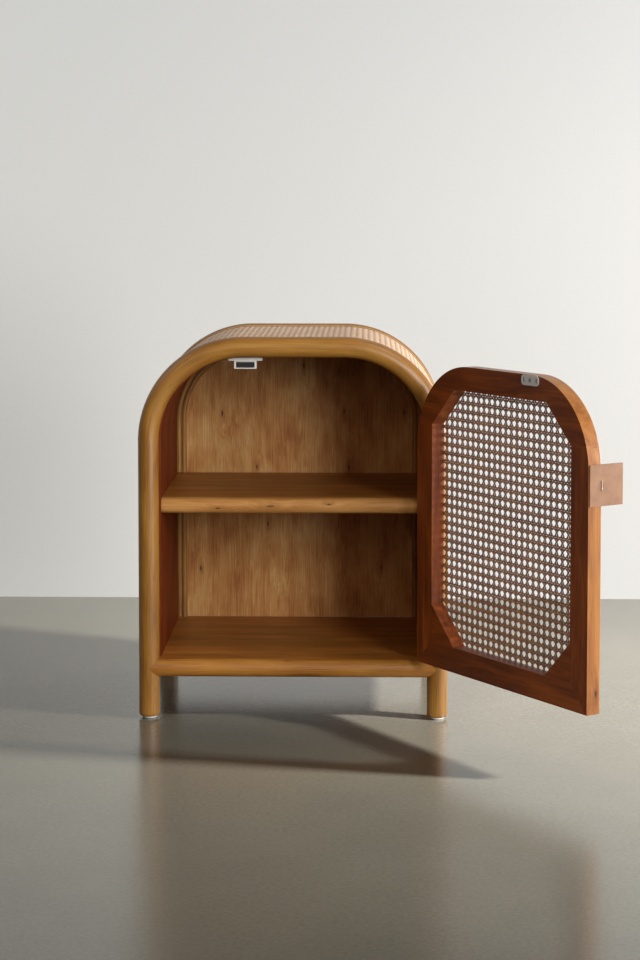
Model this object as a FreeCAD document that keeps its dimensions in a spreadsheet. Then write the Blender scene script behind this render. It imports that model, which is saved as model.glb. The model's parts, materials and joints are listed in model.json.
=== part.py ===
"""Arched side table with a cane door: bent-pole hoops, coped rails, lined walls, two shelves.

The part stands on the plane z = 0 with the middle of its four feet at the origin. X runs across
the front, from left to right, Y from the front to the back, and Z up. All lengths are millimetres.
The door hangs on the right leg of the front hoop and is shown open.
"""
import FreeCAD, Part
import os
import re
import Sketcher

V = FreeCAD.Vector
doc = FreeCAD.newDocument("side_table")

# ---------------------------------------------------------------------------------------------
# Driving dimensions. Each is one cell of the sheet, and everything below is bound to them.
# ---------------------------------------------------------------------------------------------
SIZES = {
    # bent-pole hoops
    "pole_diameter": 30,
    "leg_spacing": 420,
    "hoop_spacing": 307,
    "frame_height": 558,
    "arch_radius": 137,
    "foot_rounding": 4,
    # foot glides and their nails
    "glide_diameter": 20.5,
    "glide_height": 3,
    "glide_bevel": 1,
    "nail_diameter": 2,
    "nail_length": 18,
    "nail_head_diameter": 6,
    "nail_head_thickness": 0.8,
    "nail_head_recess": 0.4,
    # bottom rails and their dowels
    "rail_diameter": 26,
    "rail_height": 74,
    "rail_dowel_diameter": 8,
    "dowel_in_leg": 9,
    "dowel_in_rail": 25,
    # walls: lining, outer board, cane covering and bindings, measured from the poles' centre line
    "lining_inset": 16.5,
    "lining_thickness": 8,
    "lining_seam_rise": 14,
    "board_out": 10.4,
    "board_thickness": 4,
    "covering_thickness": 1.2,
    "binding_width": 4.5,
    "binding_thickness": 1.2,
    "end_binding_width": 8,
    # shelves
    "floor_board_thickness": 9,
    "floor_board_drop": 0.5,
    "floor_board_side_rest": 6,
    "floor_board_end_rest": 9.5,
    "middle_shelf_top": 320,
    "middle_shelf_thickness": 18,
    "nosing_height": 22.5,
    "nosing_depth": 16,
    "shelf_dowel_diameter": 8,
    "shelf_dowel_length": 30,
    "shelf_dowel_inset": 60,
    # back
    "back_panel_thickness": 6,
    "back_panel_setback": 2,
    "wide_reed_diameter": 8.5,
    "narrow_reed_diameter": 5.5,
    "reed_spacing": 8,
    "moulding_base": 1.8,
    # door
    "door_gap": 3,
    "door_bottom_gap": 4,
    "door_thickness": 23,
    "door_front_forward": 12,
    "door_open_angle": 123.5,
    "door_edge_rounding": 3,
    "stile_width": 36,
    "top_rail_width": 34,
    "corner_chamfer": 53,
    "shelf_clearance": 3,
    # cane panel of the door
    "cane_pitch": 12.5,
    "strand_width": 2,
    "pair_spacing": 2.6,
    "layer_thickness": 0.5,
    "cane_lip": 4,
    "groove_width": 3.5,
    "groove_depth": 7,
    "spline_height": 6.4,
    # butt hinges
    "hinge_axis_inboard": 13,
    "hinge_axis_forward": 13,
    "barrel_diameter": 5,
    "hinge_pin_diameter": 2.5,
    "pin_head_diameter": 4,
    "pin_head_height": 1,
    "hinge_height": 50,
    "middle_knuckle": 17.4,
    "leaf_thickness": 1.2,
    "leaf_width": 20,
    "leaf_neck": 3,
    "leaf_sink": 0.2,
    "lower_hinge_height": 150,
    "upper_hinge_drop": 41,
    # screws
    "screw_diameter": 3,
    "screw_head_diameter": 6,
    "screw_head_height": 1.5,
    "screw_length": 14,
    "screw_spacing": 30,
    "catch_screw_length": 11,
    # magnetic catch under the arch, and the strike plate on the door
    "catch_offset": 69.5,
    "catch_width": 32.2,
    "catch_height": 16.1,
    "catch_depth": 14,
    "catch_wall": 2.5,
    "catch_ear_span": 49.2,
    "catch_ear_thickness": 4.4,
    "keeper_thickness": 1.2,
    "keeper_stand_proud": 0.5,
    "magnet_recess": 1,
    "strike_gap": 0.5,
    "strike_top_margin": 0.5,
    "strike_length": 36.6,
    "strike_height": 14,
    "strike_thickness": 1.2,
    "strike_corner": 5,
    "strike_slot_width": 3.2,
    "strike_slot_height": 7,
    # leather pull
    "pull_drop": 16,
    "pull_length": 54,
    "pull_reach": 34,
    "pull_margin": 1,
    "leather_thickness": 2,
    "fold_gap": 0.6,
    "staple_width": 11,
    "staple_wire": 1,
    "staple_leg": 9,
    "staple_from_front": 3,
    # clearances
    "fit_gap": 0.2,
    "glue_gap": 0.05,
    "cope_gap": 0.1,
    "running_gap": 0.05,
    "knuckle_gap": 0.3,
}

sheet = doc.addObject("Spreadsheet::Sheet", "sizes")
for row, (alias, amount) in enumerate(SIZES.items(), start=1):
    sheet.set(f"A{row}", alias)
    sheet.set(f"B{row}", str(amount))
    sheet.setAlias(f"B{row}", alias)
doc.recompute()

# ---------------------------------------------------------------------------------------------
# Rules: sizes and places that follow from the driving dimensions. A rule may name other rules.
# ---------------------------------------------------------------------------------------------
RULES = {
    # hoops
    "pole_radius": "pole_diameter / 2",
    "leg_x": "leg_spacing / 2",
    "hoop_y": "hoop_spacing / 2",
    "arch_top_z": "frame_height - pole_radius",
    "spring_z": "arch_top_z - arch_radius",
    "arc_x": "leg_x - arch_radius",
    # the front and back rails lie flush with the outer sides of the legs
    "rail_radius": "rail_diameter / 2",
    "rail_y": "hoop_y + pole_radius - rail_radius",
    "rail_crest_z": "rail_height + rail_radius",
    "floor_board_top_z": "rail_crest_z - floor_board_drop",
    "floor_board_low_z": "floor_board_top_z - floor_board_thickness",
    "floor_board_seat_x": "leg_x - rail_radius + floor_board_side_rest + fit_gap",
    "floor_board_seat_y": "rail_y - rail_radius + floor_board_end_rest",
    # walls: heights above (+) or below (-) the poles' centre line, and where each sheet ends
    "lining_outer": "lining_thickness - lining_inset",
    "lining_x": "leg_x - lining_inset",
    "lining_seam_height": "spring_z + lining_seam_rise",
    "board_inner": "board_out - board_thickness",
    "covering_inner": "board_out + glue_gap",
    "covering_outer": "covering_inner + covering_thickness",
    "binding_inner": "covering_outer + glue_gap",
    "binding_outer": "binding_inner + binding_thickness",
    "lining_end_y": "hoop_y - sqrt(pole_radius^2 - lining_outer^2) - fit_gap",
    "board_end_y": "hoop_y - sqrt(pole_radius^2 - board_inner^2) - fit_gap",
    "covering_end_y": "hoop_y - sqrt(pole_radius^2 - covering_inner^2) - fit_gap",
    "binding_end_y": "hoop_y - sqrt(pole_radius^2 - binding_inner^2) - fit_gap",
    "board_foot_z": "rail_height + sqrt(rail_radius^2 - board_inner^2) + fit_gap",
    # back
    "panel_front_y": "hoop_y + back_panel_setback",
    "panel_edge": "0 - pole_radius - fit_gap",
    "narrow_reed_at": "panel_edge - narrow_reed_diameter / 2",
    "wide_reed_at": "narrow_reed_at - reed_spacing",
    "moulding_front_y": "panel_front_y - wide_reed_diameter / 2",
    # door, closed, in the cabinet's axes
    "door_front_y": "0 - hoop_y - door_front_forward",
    "door_inner_y": "door_front_y + door_thickness",
    "door_half_width": "leg_x - pole_radius - door_gap",
    "door_bottom_z": "rail_crest_z + door_bottom_gap",
    "door_top_z": "arch_top_z - pole_radius - door_gap",
    "hinge_x": "leg_x - hinge_axis_inboard",
    "hinge_y": "0 - hoop_y - hinge_axis_forward",
    # door, closed, in its own axes, which start at the hinge pins
    "edge_x": "door_half_width - hinge_x",
    "free_x": "0 - door_half_width - hinge_x",
    "middle_x": "0 - hinge_x",
    "front_y": "door_front_y - hinge_y",
    "inner_y": "door_inner_y - hinge_y",
    "opening_edge_x": "edge_x - stile_width",
    "opening_free_x": "free_x + stile_width",
    "opening_low_z": "door_bottom_z + stile_width",
    "opening_high_z": "door_top_z - top_rail_width",
    "opening_middle_z": "(opening_low_z + opening_high_z) / 2",
    "shoulder_z": "opening_high_z - corner_chamfer",
    "cane_back_y": "front_y + 4 * layer_thickness + 5 * glue_gap",
    # middle shelf
    "nosing_front_y": "door_inner_y + shelf_clearance",
    "nosing_back_y": "nosing_front_y + nosing_depth",
    "shelf_end_x": "lining_x - fit_gap",
    "shelf_back_y": "moulding_front_y - fit_gap",
    "shelf_low_z": "middle_shelf_top - middle_shelf_thickness",
    # hinges, from their pins: the leg's leaf and the door's leaf
    "upper_hinge_height": "spring_z - upper_hinge_drop",
    "leg_leaf_x": "hinge_axis_inboard - pole_radius + leaf_sink",
    "leg_leaf_back_x": "leg_leaf_x + leaf_thickness",
    "door_leaf_x": "edge_x - leaf_thickness",
    "door_screw_y": "(front_y + inner_y) / 2",
    "web_back_y": "front_y - fit_gap",
    "web_front_y": "web_back_y - leaf_thickness",
    "knuckle_end": "middle_knuckle / 2 + knuckle_gap",
    # catch and strike
    "catch_top_z": "arch_top_z - lining_inset - glue_gap",
    "catch_bottom_z": "catch_top_z - catch_height",
    "ear_bottom_z": "catch_top_z - catch_ear_thickness",
    "keeper_front_y": "door_inner_y + strike_thickness + strike_gap",
    "catch_front_y": "keeper_front_y + keeper_stand_proud",
    "catch_back_y": "catch_front_y + catch_depth",
    "slot_low_z": "catch_bottom_z + catch_wall / 2",
    "slot_high_z": "ear_bottom_z - catch_wall / 2",
    "slot_half": "catch_width / 2 - catch_wall",
    "slot_back_y": "catch_back_y - catch_wall",
    "ear_screw": "(catch_ear_span + catch_width) / 4",
    "strike_x": "middle_x - catch_offset",
    "strike_z": "door_top_z - strike_top_margin - strike_height / 2",
    "strike_face_y": "inner_y + glue_gap + strike_thickness",
    # leather pull, folded in front of the door
    "leather_x": "free_x - glue_gap",
    "fold_x": "leather_x + fold_gap / 2",
    "fold_radius": "leather_thickness + fold_gap / 2",
    "fold_y": "front_y - pull_reach + fold_radius",
    "pull_height": "spring_z - pull_drop",
    "pull_low_z": "pull_height - pull_length / 2",
    "pull_high_z": "pull_height + pull_length / 2",
}


def rule(text):
    """Spell a rule out in cells of the sheet; names of other rules become their own text."""

    def spell(match):
        word = match.group()
        if word in SIZES:
            return "sizes." + word
        if word in RULES:
            return "(" + rule(RULES[word]) + ")"
        return word

    return re.sub(r"[a-z]\w*", spell, text)


def number(text):
    """The present value of a rule."""
    return float(sheet.evalExpression(rule(text)))


# ---------------------------------------------------------------------------------------------
# Builders. Every size and place that they take is the text of a rule.
# ---------------------------------------------------------------------------------------------
AXIS_TURN = {
    "x": FreeCAD.Rotation(V(0, 1, 0), 90),
    "-x": FreeCAD.Rotation(V(0, 1, 0), -90),
    "y": FreeCAD.Rotation(V(1, 0, 0), -90),
    "-y": FreeCAD.Rotation(V(1, 0, 0), 90),
    "z": FreeCAD.Rotation(),
}


def bind(item, **rules):
    """Bind properties of an object to rules; a double underscore in a name stands for a dot."""
    for name, text in rules.items():
        item.setExpression(name.replace("__", "."), rule(text))
    return item


def move(item, x, y, z):
    """Bind the place of an object to rules."""
    return bind(item, Placement__Base__x=x, Placement__Base__y=y, Placement__Base__z=z)


def box(name, x, y, z):
    """A block between a low and a high rule on each axis."""
    item = doc.addObject("Part::Box", name)
    spans = [f"({high}) - ({low})" for low, high in (x, y, z)]
    bind(item, Length=spans[0], Width=spans[1], Height=spans[2])
    return move(item, x[0], y[0], z[0])


def rod(name, radius, length, at, axis="z"):
    """A cylinder that starts at a point and runs along an axis."""
    item = doc.addObject("Part::Cylinder", name)
    item.Placement = FreeCAD.Placement(V(), AXIS_TURN[axis])
    bind(item, Radius=radius, Height=length)
    return move(item, *at)


def fuse(name, *items):
    """One solid from several."""
    item = doc.addObject("Part::MultiFuse", name)
    item.Shapes = list(items)
    return item


def group(name, *items):
    """Separate solids that share one node."""
    item = doc.addObject("Part::Compound", name)
    item.Links = list(items)
    return item


def cut(name, base, *tools):
    item = doc.addObject("Part::Cut", name)
    item.Base = base
    item.Tool = tools[0] if len(tools) == 1 else group(name + "_tools", *tools)
    return item


def common(name, base, tool):
    item = doc.addObject("Part::Common", name)
    item.Base = base
    item.Tool = tool
    return item


def screw(name, at, axis, length="screw_length", grow="0"):
    """A countersunk screw with the top of its head at a point; grow makes its hole."""
    head = doc.addObject("Part::Cone", name + "_head")
    head.Placement = FreeCAD.Placement(V(), AXIS_TURN[axis])
    bind(head, Radius1=f"screw_head_diameter / 2 + {grow}", Radius2=f"screw_diameter / 2 + {grow}")
    bind(head, Height="screw_head_height")
    move(head, *at)
    shank = rod(name + "_shank", f"screw_diameter / 2 + {grow}", f"{length} + {grow}", at, axis)
    return fuse(name, head, shank)


def sketch_in(body, name, plane, offset):
    """A sketch on one of the body's own origin planes, moved along that plane's normal."""
    sketch = body.newObject("Sketcher::SketchObject", name)
    support = [feature for feature in body.Origin.OriginFeatures if feature.Role == plane][0]
    sketch.AttachmentSupport = [(support, "")]
    sketch.MapMode = "FlatFace"
    return bind(sketch, AttachmentOffset__Base__z=offset)


def dimension(sketch, kind, *where, size):
    """A driving dimension of a sketch, bound to a rule."""
    index = sketch.addConstraint(Sketcher.Constraint(kind, *where, number(size)))
    sketch.setExpression(f"Constraints[{index}]", rule(size))


def polygon(sketch, points):
    """A closed outline with straight edges and its corners at given places."""
    places = [V(number(u), number(v), 0) for u, v in points]
    first = sketch.GeometryCount
    for start, end in zip(places, places[1:] + places[:1]):
        sketch.addGeometry(Part.LineSegment(start, end))
    for i, (u, v) in enumerate(points):
        following = first + (i + 1) % len(points)
        sketch.addConstraint(Sketcher.Constraint("Coincident", first + i, 2, following, 1))
        dimension(sketch, "DistanceX", -1, 1, first + i, 1, size=u)
        dimension(sketch, "DistanceY", -1, 1, first + i, 1, size=v)


def arch_path(sketch, left_x, right_x, radius, foot):
    """Up the left leg, over both quarter arcs and down the right leg; returns the two legs."""
    xl, xr, zs, r, zf = (number(text) for text in (left_x, right_x, "spring_z", radius, foot))
    circles = [Part.Circle(V(x, zs, 0), V(0, 0, 1), r) for x in (xl, xr)]
    quarter = 1.5707963267948966
    left = sketch.addGeometry(Part.LineSegment(V(xl - r, zf, 0), V(xl - r, zs, 0)))
    arc_l = sketch.addGeometry(Part.ArcOfCircle(circles[0], quarter, 2 * quarter))
    top = sketch.addGeometry(Part.LineSegment(V(xl, zs + r, 0), V(xr, zs + r, 0)))
    arc_r = sketch.addGeometry(Part.ArcOfCircle(circles[1], 0, quarter))
    right = sketch.addGeometry(Part.LineSegment(V(xr + r, zs, 0), V(xr + r, zf, 0)))
    joints = (left, 2, arc_l, 2), (arc_l, 1, top, 1), (top, 2, arc_r, 2), (arc_r, 1, right, 1)
    for joint in joints:
        sketch.addConstraint(Sketcher.Constraint("Tangent", *joint))
    sketch.addConstraint(Sketcher.Constraint("Vertical", left))
    sketch.addConstraint(Sketcher.Constraint("Vertical", right))
    dimension(sketch, "Radius", arc_l, size=radius)
    dimension(sketch, "DistanceX", -1, 1, arc_l, 3, size=left_x)
    dimension(sketch, "DistanceX", -1, 1, arc_r, 3, size=right_x)
    dimension(sketch, "DistanceY", -1, 1, arc_l, 3, size="spring_z")
    dimension(sketch, "DistanceY", -1, 1, arc_r, 3, size="spring_z")
    dimension(sketch, "DistanceY", -1, 1, left, 1, size=foot)
    dimension(sketch, "DistanceY", -1, 1, right, 2, size=foot)
    return left, right


def join_ends(sketch, first, first_end, second, second_end):
    """A straight edge from the end of one edge to the end of another."""
    start = sketch.getPoint(first, first_end)
    end = sketch.getPoint(second, second_end)
    line = sketch.addGeometry(Part.LineSegment(start, end))
    sketch.addConstraint(Sketcher.Constraint("Coincident", line, 1, first, first_end))
    sketch.addConstraint(Sketcher.Constraint("Coincident", line, 2, second, second_end))


def pad_back(body, sketch, y):
    """Pad a sketch that lies in the plane of the low rule, towards the back."""
    feature = body.newObject("PartDesign::Pad", body.Name + "_pad")
    feature.Profile = sketch
    feature.Reversed = True
    return bind(feature, Length=f"({y[1]}) - ({y[0]})")


def carve(body, name, outlines, y, depth):
    """Pocket the area between outlines from the plane at y, towards the back."""
    sketch = sketch_in(body, name + "_outline", "XZ_Plane", f"0 - ({y})")
    for points in outlines:
        polygon(sketch, points)
    feature = body.newObject("PartDesign::Pocket", name)
    feature.Profile = sketch
    return bind(feature, Length=depth)


def prism(name, points, y):
    """An outline in the XZ plane padded from a low to a high y."""
    body = doc.addObject("PartDesign::Body", name)
    sketch = sketch_in(body, name + "_outline", "XZ_Plane", f"0 - ({y[0]})")
    polygon(sketch, points)
    pad_back(body, sketch, y)
    return body


def rectangle(x, z):
    """Corners of an upright rectangle, for polygon()."""
    return [(x[0], z[0]), (x[1], z[0]), (x[1], z[1]), (x[0], z[1])]


def circle_in(sketch, u, v, radius):
    """A circle in a sketch, its middle and radius bound to rules."""
    place = V(number(u), number(v), 0)
    circle = sketch.addGeometry(Part.Circle(place, V(0, 0, 1), number(radius)))
    dimension(sketch, "Radius", circle, size=radius)
    dimension(sketch, "DistanceX", -1, 1, circle, 3, size=u)
    dimension(sketch, "DistanceY", -1, 1, circle, 3, size=v)


def arch_pipe(name, height, y, radius, foot):
    """A round bar bent to the arch, a height off the poles' centre line."""
    body = doc.addObject("PartDesign::Body", name)
    spine = sketch_in(body, name + "_spine", "XZ_Plane", f"0 - ({y})")
    arch_path(spine, "0 - arc_x", "arc_x", f"arch_radius + ({height})", foot)
    section = sketch_in(body, name + "_section", "XY_Plane", foot)
    circle_in(section, f"0 - leg_x - ({height})", y, radius)
    pipe = body.newObject("PartDesign::AdditivePipe", name + "_pipe")
    pipe.Profile = section
    pipe.Spine = spine
    return body


def arch_ring(name, inner, outer, foot, y):
    """A bent sheet between two heights off the poles' centre line, open at the bottom."""
    body = doc.addObject("PartDesign::Body", name)
    outline = sketch_in(body, name + "_outline", "XZ_Plane", f"0 - ({y[0]})")
    left_out, right_out = arch_path(outline, "0 - arc_x", "arc_x", f"arch_radius + ({outer})", foot)
    left_in, right_in = arch_path(outline, "0 - arc_x", "arc_x", f"arch_radius + ({inner})", foot)
    join_ends(outline, left_out, 1, left_in, 1)
    join_ends(outline, right_out, 2, right_in, 2)
    pad_back(body, outline, y)
    return body


def arch_panel(name, left_x, right_x, radius, foot, y):
    """A flat board with the arch's outline and a straight bottom edge."""
    body = doc.addObject("PartDesign::Body", name)
    outline = sketch_in(body, name + "_outline", "XZ_Plane", f"0 - ({y[0]})")
    left, right = arch_path(outline, left_x, right_x, radius, foot)
    join_ends(outline, right, 2, left, 1)
    pad_back(body, outline, y)
    return body


def round_edges(body, name, radius, test):
    """Fillet the edges of the body's last feature that pass a test."""
    feature = body.newObject("PartDesign::Fillet", name)
    feature.Base = edges_of(feature.BaseFeature, test)
    return bind(feature, Radius=radius)


def chamfer_edges(body, name, size, test):
    """Bevel the edges of the body's last feature that pass a test."""
    feature = body.newObject("PartDesign::Chamfer", name)
    feature.Base = edges_of(feature.BaseFeature, test)
    return bind(feature, Size=size)


def edges_of(base, test):
    """The edges of a feature that pass a test, as a fillet or chamfer names them."""
    doc.recompute([base])
    return base, [f"Edge{i}" for i, edge in enumerate(base.Shape.Edges, start=1) if test(edge)]


nodes = []


def node(item, name):
    """Name a finished piece; it is written to a file of that name."""
    item.Label = name
    nodes.append(item)
    return item


def hang(item, name):
    """A finished piece of the door, turned open about the hinge pins."""
    item.Placement = FreeCAD.Placement(V(), FreeCAD.Rotation(V(0, 0, 1), 90))
    bind(item, Placement__Base__x="hinge_x", Placement__Base__y="hinge_y")
    bind(item, Placement__Rotation__Angle="door_open_angle")
    return node(item, name)


MINUS, PLUS = "(0 - 1)", "1"
SIDES = (("left", MINUS), ("right", PLUS))
ENDS = (("front", MINUS), ("back", PLUS))
CORNERS = [(side, end, sx, sy) for side, sx in SIDES for end, sy in ENDS]
HINGES = (("lower", "lower_hinge_height"), ("upper", "upper_hinge_height"))


# ---------------------------------------------------------------------------------------------
# Fasteners. With a grow of running_gap each makes its own hole.
# ---------------------------------------------------------------------------------------------
def cross_rail_dowels(prefix, end, sy, grow="0"):
    """Dowels from both ends of the front or back rail into its legs."""
    start = f"leg_x - pole_radius - dowel_in_rail - {grow}"
    length = f"dowel_in_rail + dowel_in_leg + 2 * {grow}"
    radius = f"rail_dowel_diameter / 2 + {grow}"
    return [
        rod(
            f"{prefix}_{end}_{side}",
            radius,
            length,
            (f"{sx} * ({start})", f"{sy} * rail_y", "rail_height"),
            "x" if side == "right" else "-x",
        )
        for side, sx in SIDES
    ]


def side_rail_dowel(prefix, side, end, sx, sy, grow="0"):
    """Dowel from one end of a side rail into its leg."""
    start = f"hoop_y - pole_radius - dowel_in_rail - {grow}"
    return rod(
        f"{prefix}_{side}_{end}",
        f"rail_dowel_diameter / 2 + {grow}",
        f"dowel_in_rail + dowel_in_leg + 2 * {grow}",
        (f"{sx} * leg_x", f"{sy} * ({start})", "rail_height"),
        "y" if end == "back" else "-y",
    )


def glide_nail(name, sx, sy, grow="0"):
    """Nail up through a glide into its leg."""
    at = f"{sx} * leg_x", f"{sy} * hoop_y", f"nail_head_recess - {grow}"
    head_size = f"nail_head_diameter / 2 + {grow}", f"nail_head_thickness + 2 * {grow}"
    shank_size = f"nail_diameter / 2 + {grow}", f"nail_length + 2 * {grow}"
    return fuse(name, rod(name + "_head", *head_size, at), rod(name + "_shank", *shank_size, at))


def shelf_dowels(prefix, grow="0"):
    """Dowels through the side linings into the ends of the middle shelf."""
    start = f"leg_x + lining_outer - shelf_dowel_length - {grow}"
    radius = f"shelf_dowel_diameter / 2 + {grow}"
    length = f"shelf_dowel_length + 2 * {grow}"
    rows = ("front", "nosing_back_y + shelf_dowel_inset"), ("back", "shelf_back_y - shelf_dowel_inset")
    return [
        rod(
            f"{prefix}_{side}_{end}",
            radius,
            length,
            (f"{sx} * ({start})", y, "(middle_shelf_top + shelf_low_z) / 2"),
            "x" if side == "right" else "-x",
        )
        for side, sx in SIDES
        for end, y in rows
    ]


def hinge_screws(prefix, height, x, y, axis, grow):
    """The two screws of one hinge leaf."""
    return [
        screw(f"{prefix}_{i}", (x, y, f"{height} + {sz} * screw_spacing / 2"), axis, grow=grow)
        for i, sz in enumerate((MINUS, PLUS))
    ]


def leg_leaf_screws(prefix, height, grow="0"):
    """Screws of the leg's leaf, in the cabinet's axes, through the middle of the pole."""
    place = "hinge_x + leg_leaf_x", "hinge_y + hinge_axis_forward"
    return hinge_screws(prefix, height, *place, "x", grow)


def door_leaf_screws(prefix, height, grow="0"):
    """Screws of the door's leaf, in the door's axes, through the middle of its edge."""
    return hinge_screws(prefix, height, "edge_x", "door_screw_y", "-x", grow)


def catch_screws(prefix, grow="0"):
    """Screws up through the ears of the catch into the arch lining."""
    places = [
        (f"0 - catch_offset + {sx} * ear_screw", "(catch_front_y + catch_back_y) / 2", "ear_bottom_z")
        for _, sx in SIDES
    ]
    return [
        screw(f"{prefix}_{i}", at, "z", "catch_screw_length", grow) for i, at in enumerate(places)
    ]


def staple(name, grow="0"):
    """Wire staple through the leather into the free edge of the door, its crown upright."""
    x = "leather_x - leather_thickness - glue_gap - staple_wire / 2"
    y = "front_y + staple_from_front"
    radius = f"(staple_wire / 2 + {grow})"
    low = f"pull_height - staple_width / 2 - 1.5 * {radius}"
    parts = [rod(name + "_crown", radius, f"staple_width + 3 * {radius}", (x, y, low))]
    for i, sz in enumerate((MINUS, PLUS)):
        at = x, y, f"pull_height + {sz} * staple_width / 2"
        parts.append(rod(f"{name}_leg_{i}", f"0.9 * {radius}", f"staple_leg + {grow}", at, "x"))
    return fuse(name, *parts)


def strike_plate_screw(name, grow="0"):
    """Screw through the middle of the strike plate."""
    return screw(name, ("strike_x", "strike_face_y", "strike_z"), "-y", grow=grow)


# ---------------------------------------------------------------------------------------------
# Cabinet
# ---------------------------------------------------------------------------------------------
def leaf_seat(name, height):
    """Flat for the leg's leaf, cut into the inner side of the pole."""
    return box(
        name,
        ("hinge_x + leg_leaf_x - pole_radius", "hinge_x + leg_leaf_back_x + glue_gap"),
        ("0 - hoop_y - pole_radius", "0 - hoop_y + pole_radius"),
        (f"{height} - hinge_height / 2 - fit_gap", f"{height} + hinge_height / 2 + fit_gap"),
    )


def make_hoops():
    """Two poles bent into arches, bored for dowels and nails; the front one seats the hinges."""
    for end, sy in ENDS:
        body = arch_pipe(end + "_pole", "0", f"{sy} * hoop_y", "pole_radius", "glide_height")
        foot = number("glide_height") + 0.001
        round_edges(body, end + "_foot", "foot_rounding", lambda edge: edge.BoundBox.ZMax < foot)
        tools = cross_rail_dowels("leg_bore", end, sy, "running_gap")
        for side, sx in SIDES:
            tools.append(side_rail_dowel("leg_bore_y", side, end, sx, sy, "running_gap"))
            tools.append(glide_nail(f"{end}_{side}_nail_bore", sx, sy, "running_gap"))
        if end == "front":
            for which, height in HINGES:
                tools.append(leaf_seat(which + "_leaf_seat", height))
                tools += leg_leaf_screws(which + "_leg_pilot", height, "running_gap")
        node(cut(end + "_hoop", body, *tools), end + "_hoop")


def make_glides():
    """Four plastic discs nailed under the legs."""
    nails = []
    mouth_size = "nail_head_diameter / 2 + running_gap", "nail_head_recess + nail_head_thickness + 1"
    for side, end, sx, sy in CORNERS:
        name = f"{end}_{side}_glide"
        x, y = f"{sx} * leg_x", f"{sy} * hoop_y"
        body = doc.addObject("PartDesign::Body", name + "_disc")
        sketch = sketch_in(body, name + "_outline", "XY_Plane", "0")
        circle_in(sketch, x, y, "glide_diameter / 2")
        disc = body.newObject("PartDesign::Pad", name + "_pad")
        disc.Profile = sketch
        bind(disc, Length="glide_height")
        chamfer_edges(body, name + "_rim", "glide_bevel", lambda edge: edge.BoundBox.ZMax < 0.001)
        mouth = rod(name + "_mouth", *mouth_size, (x, y, "0 - 1"))
        bore = glide_nail(name + "_bore", sx, sy, "running_gap")
        node(cut(name, body, bore, mouth), name)
        nails.append(glide_nail(f"nail_{end}_{side}", sx, sy))
    node(group("glide_nails", *nails), "glide_nails")


def corner_rods(prefix, radius):
    """Upright rods on the legs' centre lines, to cope or notch what meets the legs."""
    return [
        rod(
            f"{prefix}_{side}_{end}",
            radius,
            "2 * rail_height",
            (f"{sx} * leg_x", f"{sy} * hoop_y", "0"),
        )
        for side, end, sx, sy in CORNERS
    ]


def make_rails():
    """Four bottom rails, coped to the legs, doweled and rabbeted for the floor board."""
    legs = corner_rods("cope", "pole_radius + cope_gap")
    seat = box(
        "floor_board_seat",
        ("0 - floor_board_seat_x", "floor_board_seat_x"),
        ("0 - floor_board_seat_y", "floor_board_seat_y"),
        ("floor_board_low_z", "rail_crest_z + 1"),
    )
    dowels, rooms = [], []
    for end, sy in ENDS:
        at = "0 - leg_x", f"{sy} * rail_y", "rail_height"
        bar = rod(end + "_rail_bar", "rail_radius", "leg_spacing", at, "x")
        rooms.append(rod(end + "_rail_room", "rail_radius + cope_gap", "leg_spacing", at, "x"))
        bores = cross_rail_dowels("rail_bore", end, sy, "running_gap")
        node(cut(end + "_bottom_rail", bar, *legs, seat, *bores), end + "_bottom_rail")
        dowels += cross_rail_dowels("rail_dowel", end, sy)
    for side, sx in SIDES:
        at = f"{sx} * leg_x", "0 - hoop_y", "rail_height"
        bar = rod(side + "_rail_bar", "rail_radius", "hoop_spacing", at, "y")
        bores = [
            side_rail_dowel("rail_bore_y", side, end, sx, sy, "running_gap") for end, sy in ENDS
        ]
        node(cut(side + "_bottom_rail", bar, *legs, *rooms, seat, *bores), side + "_bottom_rail")
        dowels += [side_rail_dowel("rail_dowel_y", side, end, sx, sy) for end, sy in ENDS]
    node(group("rail_dowels", *dowels), "rail_dowels")


def make_floor_board():
    """Bottom shelf, laid into the rails' rabbets and notched round the legs."""
    half_x, half_y = "floor_board_seat_x - fit_gap", "floor_board_seat_y - fit_gap"
    board = box(
        "floor_board",
        (f"0 - ({half_x})", half_x),
        (f"0 - ({half_y})", half_y),
        ("floor_board_low_z", "floor_board_top_z"),
    )
    notches = corner_rods("notch", "pole_radius + fit_gap + cope_gap")
    node(cut("bottom_shelf", board, *notches), "bottom_shelf")


def slice_wall(name, wall, y, tools=()):
    """Left, right and arch pieces of a bent sheet, parted at the height of the seam."""
    reach = "leg_x + pole_radius"
    low = "0", "lining_seam_height - glue_gap"
    high = "lining_seam_height", "frame_height"
    rooms = {
        "left": box(name + "_left_room", (f"0 - ({reach})", "0"), y, low),
        "right": box(name + "_right_room", ("0", reach), y, low),
        "arch": box(name + "_arch_room", (f"0 - ({reach})", reach), y, high),
    }
    for which, room in rooms.items():
        piece = common(f"{which}_{name}_slice", wall, room)
        if tools:
            piece = cut(f"{which}_{name}_bored", piece, *tools)
        node(piece, f"{which}_{name}")


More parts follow.
